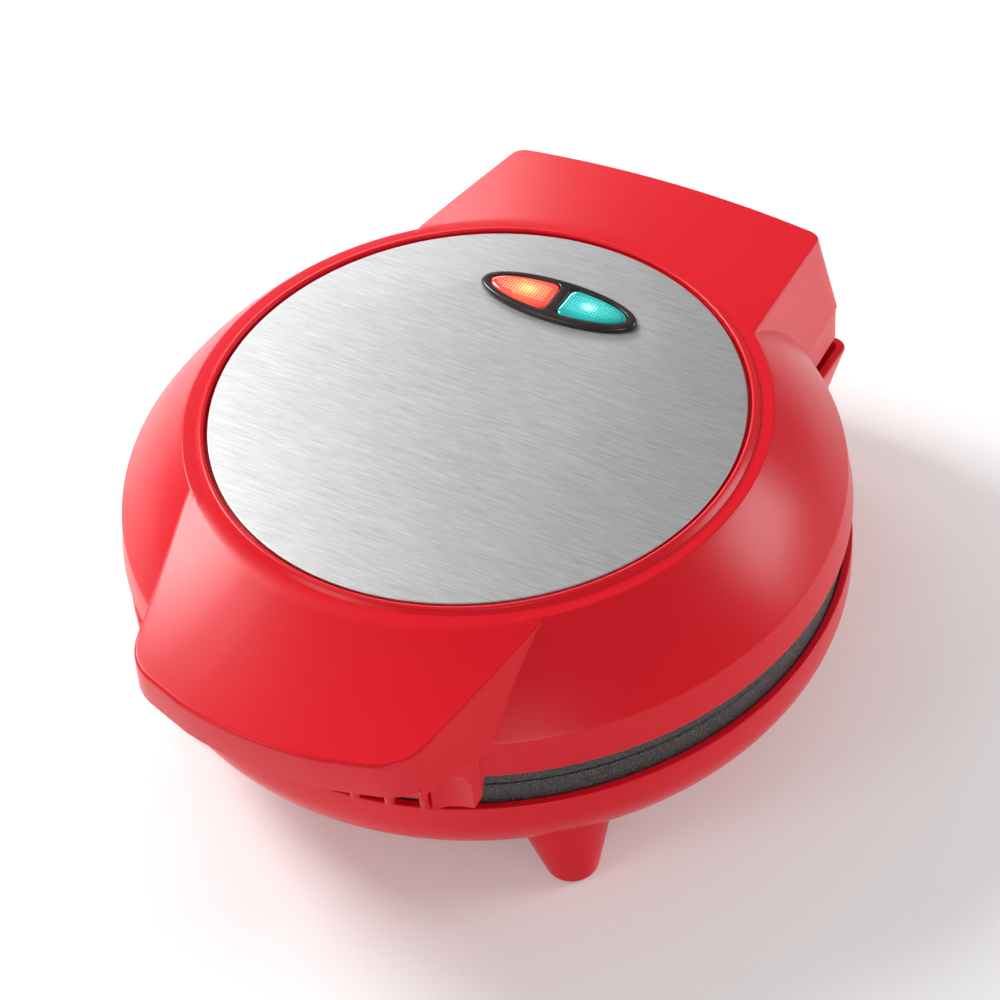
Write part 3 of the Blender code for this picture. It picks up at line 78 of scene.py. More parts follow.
# Round sizes of the two halves
BODY_RADIUS = 0.1100
RIM_TAPER = 0.0017
COLLAR_SETBACK = 0.0235
COLLAR_WIDTH = 0.0075
BOWL_FLARE = 0.0300
BASE_BAND_HEIGHT = 0.0080
RIM_CREASE_RADIUS = BODY_RADIUS - RIM_TAPER
COLLAR_RADIUS = BODY_RADIUS - COLLAR_SETBACK
DISC_RADIUS = COLLAR_RADIUS - COLLAR_WIDTH
PLATE_RADIUS = BODY_RADIUS - RIM_WALL - PLATE_GAP
BASE_FLOOR_RADIUS = BODY_RADIUS - BOWL_FLARE

# Steel disc and the raised bead round it
DISC_THICKNESS = 0.0008
DISC_SIDE_GAP = 0.0011
GROOVE_WIDTH = 0.0012
GROOVE_DEPTH = 0.0010
BEAD_HEIGHT = 0.0006
BEAD_WIDTH = 0.0016
DOME_BULGE = 0.0009
BLEND_STEP = 0.00006

# Roots of the handle and the housing, which lie under the collar
ROOT_TUCK = 0.0065
ROOT_RADIUS = COLLAR_RADIUS - ROOT_TUCK

# Handle
HANDLE_LENGTH = 0.0175
HANDLE_RISE = 0.0100
HANDLE_BACK_ANGLE = radians(41.63)
HANDLE_BACK_TUCK = -0.0012
HANDLE_FOOT_SETBACK = 0.0111
HANDLE_TIP_WIDTH = 0.0886
HANDLE_FRONT_BOW = 0.0085
HANDLE_CORNER_RADIUS = 0.0160
HANDLE_FALL = 0.0190
HANDLE_LIFT = 0.0064
HANDLE_REACH = BODY_RADIUS + HANDLE_LENGTH
HANDLE_LOW_Z = LID_RIM_Z + HANDLE_RISE

# Skirt and finger ribs under the handle
SKIRT_RISE = 0.00255
SKIRT_MARGIN_ANGLE = radians(0.56)
SKIRT_STEP = 0.0003
SKIRT_LOW_Z = BASE_RIM_Z + SKIRT_RISE
SKIRT_RADIUS = BODY_RADIUS + SKIRT_STEP
SKIRT_INNER_RADIUS = PLATE_RADIUS - PLATE_GAP
SKIRT_END_WIDTH = 0.0090
SKIRT_END_HEIGHT = 0.0105
GRIP_SPAN_ANGLE = radians(8.16)
GRIP_MARGIN_ANGLE = radians(0.96)
GRIP_INSET = 0.0001
RIB_COUNT = 9
RIB_STEP_SHARE = 0.1757
RIB_WIDTH = 0.0036
RIB_DEPTH = 0.0024
RIB_NOSE_HEIGHT = 0.0018
SCOOP_RADIUS = 0.0088
SCOOP_SPAN_ANGLE = radians(5.36)
SCOOP_ROUND_SHARE = 0.9
SCOOP_TOP_DROP = 0.0010
SCOOP_TOP_Z = HANDLE_LOW_Z - SCOOP_TOP_DROP
BACK_WALL_HALF_ANGLE = radians(28.0)

# Hinge housing of the lid
HOUSING_FALL = 0.0057
HOUSING_DROP = 0.0035
HOUSING_TOP_DEPTH = 0.0145
HOUSING_LOW_DEPTH = 0.0215
HOUSING_BACK_BOW = 0.0030
HOUSING_FRONT_ANGLE = radians(43.12)
HOUSING_FRONT_TUCK = 0.0002
HOUSING_FLARE = 0.0015
HOUSING_BACK_FLARE = 0.0074
HOUSING_LOW_BACK_WIDTH = 0.1166
HOUSING_TOP_BACK_WIDTH = HOUSING_LOW_BACK_WIDTH - HOUSING_BACK_FLARE
HOUSING_CORNER_RADIUS = 0.0045
HOUSING_LOW_Z = LID_RIM_Z - HOUSING_DROP
HOUSING_TOP_REACH = BODY_RADIUS + HOUSING_TOP_DEPTH
HOUSING_LOW_REACH = BODY_RADIUS + HOUSING_LOW_DEPTH

# Hinge
HINGE_DEPTH = 0.0080
HINGE_RISE = 0.0005
KNUCKLE_RADIUS = 0.0060
PIN_RADIUS = 0.0029
PIN_CLEARANCE = 0.0003
PIN_COVER = 0.00225
BOSS_LENGTH = 0.00475
POST_WIDTH = 0.0080
POST_DEPTH = 0.0095
HINGE_Y = BODY_RADIUS + HINGE_DEPTH
HINGE_Z = PARTING_Z + HINGE_RISE

# Cheeks of the housing, which hold the hinge pins
CHEEK_DROP = 0.0100
CHEEK_AHEAD = 0.0160
CHEEK_BEHIND = 0.0095
CHEEK_CHAMFER = 0.0032
CHEEK_STEP = 0.0003
CHEEK_LOW_Z = HINGE_Z - CHEEK_DROP
CHEEK_FRONT_Y = HINGE_Y - CHEEK_AHEAD
CHEEK_BACK_Y = HINGE_Y + CHEEK_BEHIND

# Hinge box of the base
BOX_RIM_DROP = 0.00775
BOX_FLOOR_RISE = 0.0020
BOX_ROOT_SETBACK = 0.0440
BOX_DEPTH = 0.0230
BOX_BACK_SLOPE = 0.0068
BOX_BACK_BOW = 0.0020
BOX_FRONT_SETBACK = 0.0350
BOX_TOP_Z = BASE_RIM_Z - BOX_RIM_DROP
BOX_LOW_Z = BASE_FLOOR_Z + BOX_FLOOR_RISE
BOX_ROOT_RADIUS = BODY_RADIUS - BOX_ROOT_SETBACK
BOX_REACH = BODY_RADIUS + BOX_DEPTH
BOX_LOW_REACH = BOX_REACH - BOX_BACK_SLOPE
BOX_FRONT_Y = BODY_RADIUS - BOX_FRONT_SETBACK
BOX_OVERHANG = 0.0044
BOX_SIDE_SLOPE = 0.0090
BOX_TOP_WIDTH = HOUSING_LOW_BACK_WIDTH + BOX_OVERHANG
BOX_LOW_WIDTH = BOX_TOP_WIDTH - BOX_SIDE_SLOPE
BOX_CORNER_RADIUS = 0.0045
WIRE_WINDOW_WIDTH = 0.0300
WIRE_WINDOW_HEIGHT = 0.0120

# Feet
FOOT_SETBACK = 0.0105
FOOT_ANGLE = radians(42.03)
FOOT_TIP_RADIUS = 0.0075
FOOT_TOP_RADIUS = 0.0170
FOOT_ROOT_HEIGHT = 0.0110
FOOT_LEAN = 0.0116
FOOT_LOW_Z = 0.0007
FOOT_ROUND = 0.0014
PAD_RADIUS = 0.0045
PAD_HEIGHT = 0.0030
FOOT_TOP_Z = BASE_FLOOR_Z + FOOT_ROOT_HEIGHT
FOOT_X = (BODY_RADIUS - FOOT_SETBACK) * sin(FOOT_ANGLE)
FOOT_Y = (BODY_RADIUS - FOOT_SETBACK) * cos(FOOT_ANGLE)

# Cooking plates
PLATE_WEB = 0.0040
PLATE_EDGE_HEIGHT = 0.0115
PLATE_EDGE_THICKNESS = 0.0030
PLATE_BEVEL = 0.0008
POCKET_MARGIN = 0.0124
POCKET_DEPTH = 0.0140
POCKET_WALL = 0.0025
POCKET_CORNER = 0.0140
POCKET_SLOPE = 0.0110
DIVIDER_WIDTH = 0.0160
PLATE_BOSS_RADIUS = 0.0042
PLATE_BOSS_Y = 0.0600
POCKET_RADIUS = PLATE_RADIUS - POCKET_MARGIN

# Heating elements
ELEMENT_RADIUS = 0.0026
ELEMENT_OPEN_ANGLE = radians(7.0)
ELEMENT_END_HEIGHT = 0.0045

# Heat shields
SHEET = 0.0008
UPPER_SHIELD_STANDOFF = 0.0172
LOWER_SHIELD_STANDOFF = 0.0080
CEILING_Z = DISC_TOP_Z - DISC_THICKNESS - SEAT_GAP - WALL
UPPER_SHIELD_DEPTH = CEILING_Z - PARTING_Z - UPPER_SHIELD_STANDOFF
LOWER_SHIELD_DEPTH = PARTING_Z - BASE_FLOOR_Z - WALL - LOWER_SHIELD_STANDOFF
SHIELD_BOSS_RADIUS = 0.0040
SHIELD_BOSS_CIRCLE = 0.0600

# Screws
SCREW_RADIUS = 0.0015
SCREW_HEAD_RADIUS = 0.0033
SCREW_HEAD_HEIGHT = 0.0022
SCREW_LENGTH = 0.0070
SCREW_HOLE_RADIUS = 0.0020
THREAD_PITCH = SCREW_RADIUS / 2
RECESS_HALF_WIDTH = SCREW_HEAD_RADIUS / 9
RECESS_REACH = SCREW_HEAD_RADIUS * 0.55

# Indicator window on the disc
WINDOW_SETBACK = 0.0290
WINDOW_Y = DISC_RADIUS - WINDOW_SETBACK
BEZEL_HALF_LENGTH = 0.0265
BEZEL_HALF_WIDTH = 0.0087
BEZEL_HEIGHT = 0.0016
BEZEL_LIP = 0.0012
BEZEL_NECK_DEPTH = 0.0042
BEZEL_BAND = 0.0030
BEZEL_SIDE_BAND = 0.0024
BEZEL_DIVIDER = 0.0034
LENS_CLEARANCE = 0.0003
LENS_CROWN = 0.0008
LENS_CORNER = 0.0022
LENS_CROWN_ANGLE = radians(80)
GLOW_X = 0.0105
DOT_PITCH = 0.0010
DOT_RADIUS = 0.00034
DOT_ANGLE = radians(75)

# Hole for the cord gland
GLAND_RISE = 0.0095
GLAND_Z = BOX_LOW_Z + GLAND_RISE
GLAND_NECK_RADIUS = 0.0050

# Counts of faces and steps
ROUND_FACES = 256
PLATE_FACES = 192
PART_FACES = 48
SMALL_FACES = 24
TUBE_FACES = 20
DOT_FACES = 10
ARC_STEPS = 8
LIP_STEPS = 4
EDGE_STEPS = 5
HEAD_STEPS = 6
BEZEL_STEPS = 7
NOSE_STEPS = 10
DOME_STEPS = 12
POCKET_STEPS = 12
SIDE_STEPS = 14
TOP_STEPS = 16
BOW_STEPS = 20
GRIP_STEPS = 24
BOWL_STEPS = 28
WINDOW_STEPS = 40
WALL_STEPS = 60
HEATER_STEPS = 96
SMOOTH_ANGLE = radians(28)
STRAIGHT_ANGLE = radians(0.5)

# Where the whole part stands
SHIFT_Y = (HANDLE_REACH - BOX_REACH) / 2

# Room, light and camera
FLOOR_HALF = 3.0
FLOOR_LIFT = 0.14
WORLD_STRENGTH = 0.32
LAMP_TARGET = (0, 0, 0.05)
CAMERA_AROUND = radians(33.71)
CAMERA_ABOVE = radians(44.62)
CAMERA_ROLL = radians(-5.84)
CAMERA_PLACE = (0.320366, -0.472820 + SHIFT_Y, 0.617205)
LENS_LENGTH = 95.55
SENSOR_WIDTH = 36


# ---- mesh tools


def added(name, data):
    """A new object in the scene."""
    made = bpy.data.objects.new(name, data)
    bpy.context.scene.collection.objects.link(made)
    return made


def placed(made, matrix):
    made.data.transform(matrix)
    if matrix.determinant() < 0:
        made.data.flip_normals()
    return made


def evaluated(made):
    """Leaves the object's mesh as its modifiers show it."""
    graph = bpy.context.evaluated_depsgraph_get()
    result = bpy.data.meshes.new_from_object(made.evaluated_get(graph))
    made.modifiers.clear()
    old = made.data
    made.data = result
    bpy.data.meshes.remove(old)
    return made


def combine(made, others, operation):
    """Joins the others to the piece, cuts them off it or keeps what both share, one after the other."""
    for other in others:
        modifier = made.modifiers.new(operation, "BOOLEAN")
        modifier.operation = operation
        modifier.object = other
        evaluated(made)
        bpy.data.objects.remove(other)
    return made


def joined(made, *others):
    return combine(made, others, "UNION")


def cut(made, *others):
    return combine(made, others, "DIFFERENCE")


def full_turn(count):
    return [2 * pi * i / count for i in range(count)]


def loft(name, sections):
    """A solid through closed sections with equal point counts, capped at both ends."""
    bm = bmesh.new()
    rings = [[bm.verts.new(point) for point in section] for section in sections]
    for lower, upper in zip(rings, rings[1:]):
        count = len(lower)
        for i in range(count):
            bm.faces.new([lower[i], lower[(i + 1) % count], upper[(i + 1) % count], upper[i]])
    bm.faces.new(rings[0])
    bm.faces.new(rings[-1])
    bmesh.ops.recalc_face_normals(bm, faces=bm.faces)
    mesh = bpy.data.meshes.new(name)
    bm.to_mesh(mesh)
    bm.free()
    return added(name, mesh)


def turned(name, profile, faces):
    """A profile of (radius, height) points turned round the Z axis, with flat caps where it meets it."""
    turns = full_turn(faces)
    return loft(name, [[(r * cos(t), r * sin(t), z) for t in turns] for r, z in profile if r > 0])


def level(outline, height):
    return [(x, y, height) for x, y in outline]


def prism(name, outline, low, high):
    return loft(name, [level(outline, low), level(outline, high)])


def block(name, low, high):
    outline = [(low[0], low[1]), (high[0], low[1]), (high[0], high[1]), (low[0], high[1])]
    return prism(name, outline, low[2], high[2])


def rod(name, radius, start, end, faces=SMALL_FACES):
    start, end = Vector(start), Vector(end)
    length = (end - start).length
    made = turned(name, [(0, 0), (radius, 0), (radius, length), (0, length)], faces)
    turn = Vector((0, 0, 1)).rotation_difference(end - start).to_matrix().to_4x4()
    return placed(made, Matrix.Translation(start) @ turn)


def blend(first, last, share):
    return first + (last - first) * share


def steps_between(first, last, count):
    return [blend(first, last, i / count) for i in range(count + 1)]


def arc(middle, size, first, last, count):
    """Points of a round or oval arc, both ends included."""
    turns = steps_between(first, last, count)
    return [(middle[0] + size[0] * cos(t), middle[1] + size[1] * sin(t)) for t in turns]


def filleted(points, steps=ARC_STEPS):
    """An open outline of (x, y, radius) points with each inner corner rounded to its radius."""
    made = [points[0][:2]]
    for before, corner, after in zip(points, points[1:], points[2:]):
        here, radius = Vector(corner[:2]), corner[2]
        back = (Vector(before[:2]) - here).normalized()
        ahead = (Vector(after[:2]) - here).normalized()
        half = back.angle(ahead) / 2
        if radius == 0 or abs(half - pi / 2) < STRAIGHT_ANGLE:
            made.append(tuple(here))
            continue
        centre = here + (back + ahead).normalized() * radius / sin(half)
        tangent = abs(sin(half) / cos(half))
        first = here + back * radius / tangent - centre
        last = here + ahead * radius / tangent - centre
        turn = first.angle_signed(last)
        for i in range(steps + 1):
            spin = Matrix.Rotation(-turn * i / steps, 2)
            made.append(tuple(centre + spin @ first))
    made.append(points[-1][:2])
    return made


def ellipse(half_length, half_width, centre_y, faces):
    return [(half_length * cos(t), centre_y + half_width * sin(t)) for t in full_turn(faces)]


def bowed_outline(front_y, front_width, back_y, back_width, bow, corner_radius, inset=0):
    """Half-trapezoid outline towards +Y, from the right side round a bowed back to the left side."""
    half_front = front_width / 2 - inset
    half_back = back_width / 2 - inset
    reach = back_y - inset
    side_y = reach - bow
    radius = (half_back**2 + bow**2) / (2 * bow)
    span = asin(half_back / radius)
    corner = max(corner_radius - inset, EDGE_ROUND)
    bowed = []
    for i in range(1, BOW_STEPS):
        turn = blend(span, -span, i / BOW_STEPS)
        if abs(radius * sin(turn)) < half_back - corner * CORNER_REACH_SHARE:
            bowed.append((radius * sin(turn), reach - radius * (1 - cos(turn)), 0))
    points = [(half_front, front_y, 0), (half_back, side_y, corner), *bowed]
    points += [(-half_back, side_y, corner), (-half_front, front_y, 0)]
    outline = filleted(points)
    sides = []
    shares = [i / SIDE_STEPS for i in range(SIDE_STEPS)]
    for start, end in ((outline[0], outline[1]), (outline[-1], outline[-2])):
        sides.append([tuple(Vector(start).lerp(Vector(end), share)) for share in shares])
    return sides[0] + outline[1:-1] + sides[1][::-1]


def slices(top_outline, low_outline, low_z, top_height, round_size, drop_z=None):
    """Radial sections of a body whose top follows top_height(radius) out to its rounded outline.

    With drop_z the body is a room, which starts further in and goes straight down to that height.
    """
    made = []
    root_radius = ROOT_RADIUS if drop_z is None else ROOT_RADIUS - OVERRUN
    for (tx, ty), (lx, ly) in zip(top_outline, low_outline):
        reach = hypot(tx, ty)
        ux, uy = tx / reach, ty / reach
        section = [(ux * root_radius, uy * root_radius, low_z if drop_z is None else drop_z)]
        section.append((ux * root_radius, uy * root_radius, top_height(root_radius)))
        first = min(COLLAR_RADIUS, (root_radius + reach) / 2)
        for radius in steps_between(first, reach - round_size, TOP_STEPS):
            section.append((ux * radius, uy * radius, top_height(radius)))
        edge_z = top_height(reach) - round_size
        crown = top_height(reach - round_size) - edge_z
        for i in range(1, EDGE_STEPS + 1):
            turn = pi / 2 * i / EDGE_STEPS
            radius = reach - round_size * (1 - sin(turn))
            section.append((ux * radius, uy * radius, edge_z + crown * cos(turn)))
        section.append((lx, ly, low_z))
        if drop_z is not None:
            section.append((lx, ly, drop_z))
        made.append(section)
    return made


def below(top, low):
    """Where the lower outline lies under each point of the upper one, seen from the axis."""
    line = [Vector(point) for point in low]
    line.insert(0, line[0] + (line[0] - line[1]).normalized() * ROOT_RADIUS)
    line.append(line[-1] + (line[-1] - line[-2]).normalized() * ROOT_RADIUS)
    made = []
    for point in top:
        ray = Vector(point).normalized()
        meets = []
        for start, end in zip(line, line[1:]):
            across, along = ray.cross(start), ray.cross(end - start)
            if along and 0 <= -across / along <= 1:
                meets.append(ray.dot(start.lerp(end, -across / along)))
        made.append(tuple(ray * max(meets)))
    return made


def mirrored(points):
    return [(x, -y) for x, y in points]


# ---- lid


def handle_height(radius):
    share = max((radius - COLLAR_RADIUS) / (HANDLE_REACH - COLLAR_RADIUS), 0)
    return COLLAR_Z + BLEND_STEP - HANDLE_FALL * share + HANDLE_LIFT * share * share


def housing_height(radius):
    share = max((radius - COLLAR_RADIUS) / (HOUSING_TOP_REACH - COLLAR_RADIUS), 0)
    return COLLAR_Z + BLEND_STEP - HOUSING_FALL * share


def dome_profile():
    """Outer profile of the lid from its centre over the bead, the collar and the rim to the lower edge."""
    floor = DISC_TOP_Z - DISC_THICKNESS - SEAT_GAP
    seat = DISC_RADIUS + DISC_SIDE_GAP
    top = DISC_TOP_Z + BEAD_HEIGHT
    profile = [(0, floor), (seat - GROOVE_WIDTH, floor)]
    profile += [(seat - GROOVE_WIDTH, floor - GROOVE_DEPTH), (seat, floor - GROOVE_DEPTH)]
    crest = seat + BEAD_WIDTH / 2
    profile += arc((crest, top - BEAD_HEIGHT), (BEAD_WIDTH / 2, BEAD_HEIGHT), pi, 0, NOSE_STEPS)
    run = Vector((RIM_CREASE_RADIUS - COLLAR_RADIUS, RIM_CREASE_Z - COLLAR_Z))
    out = Vector((-run.y, run.x)).normalized()
    side = Vector((BODY_RADIUS - RIM_CREASE_RADIUS, LID_RIM_Z - RIM_CREASE_Z)).normalized()
    crease = Vector((RIM_CREASE_RADIUS, RIM_CREASE_Z))
    collar = [(seat + BEAD_WIDTH + EDGE_ROUND, COLLAR_Z, 0), (COLLAR_RADIUS, COLLAR_Z, EDGE_ROUND)]
    dome = []
    for i in range(1, DOME_STEPS):
        share = i / DOME_STEPS
        point = Vector((COLLAR_RADIUS, COLLAR_Z)) + run * share + out * DOME_BULGE * sin(pi * share)
        dome.append((point.x, point.y, 0))
    low = crease + side * (LID_RIM_Z - RIM_CREASE_Z) / side.y
    rim = [(crease.x, crease.y, CREASE_ROUND), (low.x, low.y, EDGE_ROUND / 2), (0, LID_RIM_Z, 0)]
    return profile + filleted(collar + dome + rim, HEAD_STEPS)


def handle_corner(radius):
    """Back corner of the handle at a distance from the axis."""
    return radius * sin(HANDLE_BACK_ANGLE), radius * cos(HANDLE_BACK_ANGLE)


def handle_outlines(inset=0):
    """The handle's top edge and its foot, both turned to -Y, with equal point counts."""
    corner, bow, tip_width = HANDLE_CORNER_RADIUS, HANDLE_FRONT_BOW, HANDLE_TIP_WIDTH
    back_x, back_y = handle_corner(COLLAR_RADIUS - HANDLE_BACK_TUCK)
    foot_x, foot_y = handle_corner(BODY_RADIUS - HANDLE_FOOT_SETBACK)
    top = bowed_outline(back_y, back_x * 2, HANDLE_REACH, tip_width, bow, corner, inset)
    low_reach = HANDLE_REACH - EDGE_ROUND / 2
    low = bowed_outline(foot_y, foot_x * 2, low_reach, tip_width, bow, corner, inset)
    return mirrored(top), mirrored(below(top, low))


def handle():
    top, low = handle_outlines()
    return loft("handle", slices(top, low, HANDLE_LOW_Z, handle_height, TOP_ROUND))


def handle_room(inset):
    """The handle drawn in by inset and carried straight down past the skirt."""
    top, low = handle_outlines(inset)
    low_z, drop_z = HANDLE_LOW_Z, SKIRT_LOW_Z - inset
    sections = slices(top, low, low_z, lambda radius: handle_height(radius) - inset, EDGE_ROUND, drop_z)
    return loft("handle_room", sections)


def side_wall_line():
    """The handle's side wall seen from above: its slope, and how far out it would meet the axis' plane."""
    foot_x, foot_y = handle_corner(BODY_RADIUS - HANDLE_FOOT_SETBACK)
    slope = (foot_x - HANDLE_TIP_WIDTH / 2) / (HANDLE_REACH - EDGE_ROUND / 2 - HANDLE_FRONT_BOW - foot_y)
    return slope, foot_x + slope * foot_y


def side_wall_radius(turn):
    """Distance from the axis to the handle's side wall, along a direction measured from the front."""
    slope, offset = side_wall_line()
    return offset / (sin(abs(turn)) + slope * cos(turn))


def side_wall_turn():
    """The direction, measured from the front, in which the handle's side wall meets the skirt."""
    slope, offset = side_wall_line()
    return asin(offset / SKIRT_RADIUS / hypot(1, slope)) - atan(slope)


def rim_wall(name, stations, inner, low_at, high_z):
    """A curved wall round the plates through stations of (angle from the front, outer radius, rise)."""
    sections = []
    for turn, outer, *rise in stations:
        ux, uy = sin(turn), -cos(turn)
        low = low_at(turn) + sum(rise)
        ring = [(inner, low), (outer, low), (outer, high_z), (inner, high_z)]
        sections.append([(ux * r, uy * r, z) for r, z in ring])
    return loft(name, sections)


def skirt_low(turn):
    """The skirt's lower edge, which curves up near its ends."""
    from_end = (side_wall_turn() - SKIRT_MARGIN_ANGLE - abs(turn)) * SKIRT_RADIUS
    if from_end >= SKIRT_END_WIDTH:
        return SKIRT_LOW_Z
    share = 1 - from_end / SKIRT_END_WIDTH
    return SKIRT_LOW_Z + SKIRT_END_HEIGHT * (1 - sqrt(1 - share * share))


def skirt():
    """The wall in front of the plates, up to the handle's top, with a row of ribs that end in round noses."""
    half = RIB_WIDTH / 2 / SKIRT_RADIUS
    half_angle = side_wall_turn() - SKIRT_MARGIN_ANGLE
    ribs = []
    for i in range(RIB_COUNT):
        middle = (i - (RIB_COUNT - 1) / 2) * half_angle * RIB_STEP_SHARE
        for turn in steps_between(-pi / 2, pi / 2, NOSE_STEPS):
            share = cos(turn)
            outside = (i == 0 and turn < 0) or (i == RIB_COUNT - 1 and turn > 0)
            rise = 0 if outside else RIB_NOSE_HEIGHT * (1 - share)
            ribs.append((middle + half * sin(turn), SKIRT_RADIUS + RIB_DEPTH * share, rise))
    end = steps_between(ribs[-1][0], half_angle, GRIP_STEPS)[1:]
    left = [(-turn, SKIRT_RADIUS, 0) for turn in reversed(end)]
    right = [(turn, SKIRT_RADIUS, 0) for turn in end]
    made = rim_wall("skirt", left + ribs + right, SKIRT_INNER_RADIUS, skirt_low, COLLAR_Z)
    return combine(made, [handle_room(WALL / 2)], "INTERSECT")


def grip_end(side):
    """The block between an end of the skirt and the handle's side wall."""
    high = HANDLE_LOW_Z + SEAT_GAP
    meet = side_wall_turn()
    turns = steps_between(side * (meet - GRIP_SPAN_ANGLE), side * (meet - GRIP_MARGIN_ANGLE), GRIP_STEPS)
    inner = (SKIRT_INNER_RADIUS + SKIRT_RADIUS) / 2
    stations = [(turn, side_wall_radius(turn) - GRIP_INSET) for turn in turns]
    return rim_wall("grip_end", stations, inner, lambda turn: skirt_low(turn) - SEAT_GAP, high)


def scoop(side):
    """The finger hollow at an end of the skirt: an upright cylinder with a rounded top."""
    top = SCOOP_TOP_Z - SCOOP_RADIUS
    profile = [(0, SKIRT_LOW_Z - OVERRUN), (SCOOP_RADIUS, SKIRT_LOW_Z - OVERRUN)]
    profile += arc((0, top), (SCOOP_RADIUS, SCOOP_RADIUS), 0, pi / 2 * SCOOP_ROUND_SHARE, SIDE_STEPS)
    profile.append((0, profile[-1][1]))
    made = turned("scoop", profile, PART_FACES)
    reach = SKIRT_RADIUS + SCOOP_RADIUS + SEAT_GAP
    turn = side_wall_turn() - SCOOP_SPAN_ANGLE
    return placed(made, Matrix.Translation((side * reach * sin(turn), -reach * cos(turn), 0)))


def housing_outlines(inset=0):
    front = COLLAR_RADIUS - HOUSING_FRONT_TUCK
    half, front_y = front * sin(HOUSING_FRONT_ANGLE), front * cos(HOUSING_FRONT_ANGLE)
    bow, corner = HOUSING_BACK_BOW, HOUSING_CORNER_RADIUS
    top = bowed_outline(front_y, half * 2, HOUSING_TOP_REACH, HOUSING_TOP_BACK_WIDTH, bow, corner, inset)
    low_width = (half + HOUSING_FLARE) * 2
    low = bowed_outline(front_y, low_width, HOUSING_LOW_REACH, HOUSING_LOW_BACK_WIDTH, bow, corner, inset)
    return top, below(top, low)


def hinge_housing():
    top, low = housing_outlines()
    made = loft("housing", slices(top, low, HOUSING_LOW_Z, housing_height, TOP_ROUND))
    return joined(made, cheek(-1), cheek(1))


def housing_hollow():
    """The room inside the hinge housing, open below."""
    top, low = housing_outlines(WALL)
    low_z, drop_z = HOUSING_LOW_Z, CHEEK_LOW_Z - OVERRUN
    sections = slices(top, low, low_z, lambda radius: housing_height(radius) - WALL, EDGE_ROUND, drop_z)
    return loft("hollow", sections)


def cheek(side):
    """The housing's side wall carried down past the hinge pin."""
    low = housing_outlines(CHEEK_STEP)[1]
    made = prism("cheek", low, CHEEK_LOW_Z - OVERRUN, HOUSING_LOW_Z + EDGE_ROUND)
    profile = [
        (CHEEK_FRONT_Y, HOUSING_LOW_Z + OVERRUN, 0),
        (CHEEK_FRONT_Y, CHEEK_LOW_Z, CHEEK_CHAMFER),
        (CHEEK_BACK_Y, CHEEK_LOW_Z, CHEEK_CHAMFER),
        (CHEEK_BACK_Y, HOUSING_LOW_Z + OVERRUN, 0),
    ]
    outline = filleted(profile)
    inner, outer = HOUSING_LOW_BACK_WIDTH / 2 - 2 * WALL, HOUSING_LOW_BACK_WIDTH / 2 + OVERRUN
    window = loft("window", [[(side * x, y, z) for y, z in outline] for x in (inner, outer)])
    return combine(made, [window], "INTERSECT")


def knuckle(side, inner, outer):
    start, end = (side * inner, HINGE_Y, HINGE_Z), (side * outer, HINGE_Y, HINGE_Z)
    return rod("knuckle", KNUCKLE_RADIUS, start, end, PART_FACES)


def pin_span():
    return post_inner() + PIN_COVER, HOUSING_LOW_BACK_WIDTH / 2 - EDGE_ROUND


def pin_hole(side, outer):
    inner = pin_span()[0] - OVERRUN
    radius = PIN_RADIUS + PIN_CLEARANCE
    return rod("pin_hole", radius, (side * inner, HINGE_Y, HINGE_Z), (side * outer, HINGE_Y, HINGE_Z))


def post_inner():
    cheek_inner = HOUSING_LOW_BACK_WIDTH / 2 - WALL - EDGE_ROUND
    return cheek_inner - BOSS_LENGTH - POST_WIDTH


def shield_bosses():
    turns = [pi / 4 + i * pi / 2 for i in range(4)]
    return [(SHIELD_BOSS_CIRCLE * cos(t), SHIELD_BOSS_CIRCLE * sin(t)) for t in turns]


def screw_boss(made, place, radius, boss, hole):
    """Adds an upright boss with a screw hole. boss and hole are (low, high) heights."""
    joined(made, rod("boss", radius, (*place, boss[0]), (*place, boss[1])))
    cut(made, rod("hole", SCREW_HOLE_RADIUS, (*place, hole[0]), (*place, hole[1])))


def back_wall():
    """The rim wall inside the hinge housing."""
    high = housing_height(SKIRT_RADIUS) - WALL / 2
    turns = steps_between(pi - BACK_WALL_HALF_ANGLE, pi + BACK_WALL_HALF_ANGLE, WALL_STEPS)
    stations = [(turn, SKIRT_RADIUS) for turn in turns]
    return rim_wall("back_wall", stations, SKIRT_INNER_RADIUS, lambda turn: LID_RIM_Z + SEAT_GAP, high)


def lid_hollow():
    """The room inside the dome, open below."""
    rim = PLATE_RADIUS + PLATE_GAP
    run = Vector((RIM_CREASE_RADIUS - COLLAR_RADIUS, RIM_CREASE_Z - COLLAR_Z)).normalized()
    inward = Vector((run.y, -run.x)) * WALL
    collar = Vector((COLLAR_RADIUS, COLLAR_Z)) + inward
    crease = Vector((RIM_CREASE_RADIUS, RIM_CREASE_Z)) + inward
    slope = (crease.x - collar.x) / (crease.y - collar.y)
    profile = [(0, CEILING_Z), (collar.x + (CEILING_Z - collar.y) * slope, CEILING_Z), (crease.x, crease.y)]
    profile.append((rim, PARTING_Z + PLATE_EDGE_HEIGHT + SEAT_GAP))
    profile += [(rim, SKIRT_LOW_Z - OVERRUN), (0, SKIRT_LOW_Z - OVERRUN)]
    return turned("lid_hollow", profile, ROUND_FACES)


def window_cutter(low):
    """The oval opening for the indicator window, from a height upwards."""
    half_length, half_width = BEZEL_HALF_LENGTH - BEZEL_LIP, BEZEL_HALF_WIDTH - BEZEL_LIP
    outline = ellipse(half_length, half_width, WINDOW_Y, PART_FACES * 2)
    return prism("opening", outline, low, DISC_TOP_Z + OVERRUN)


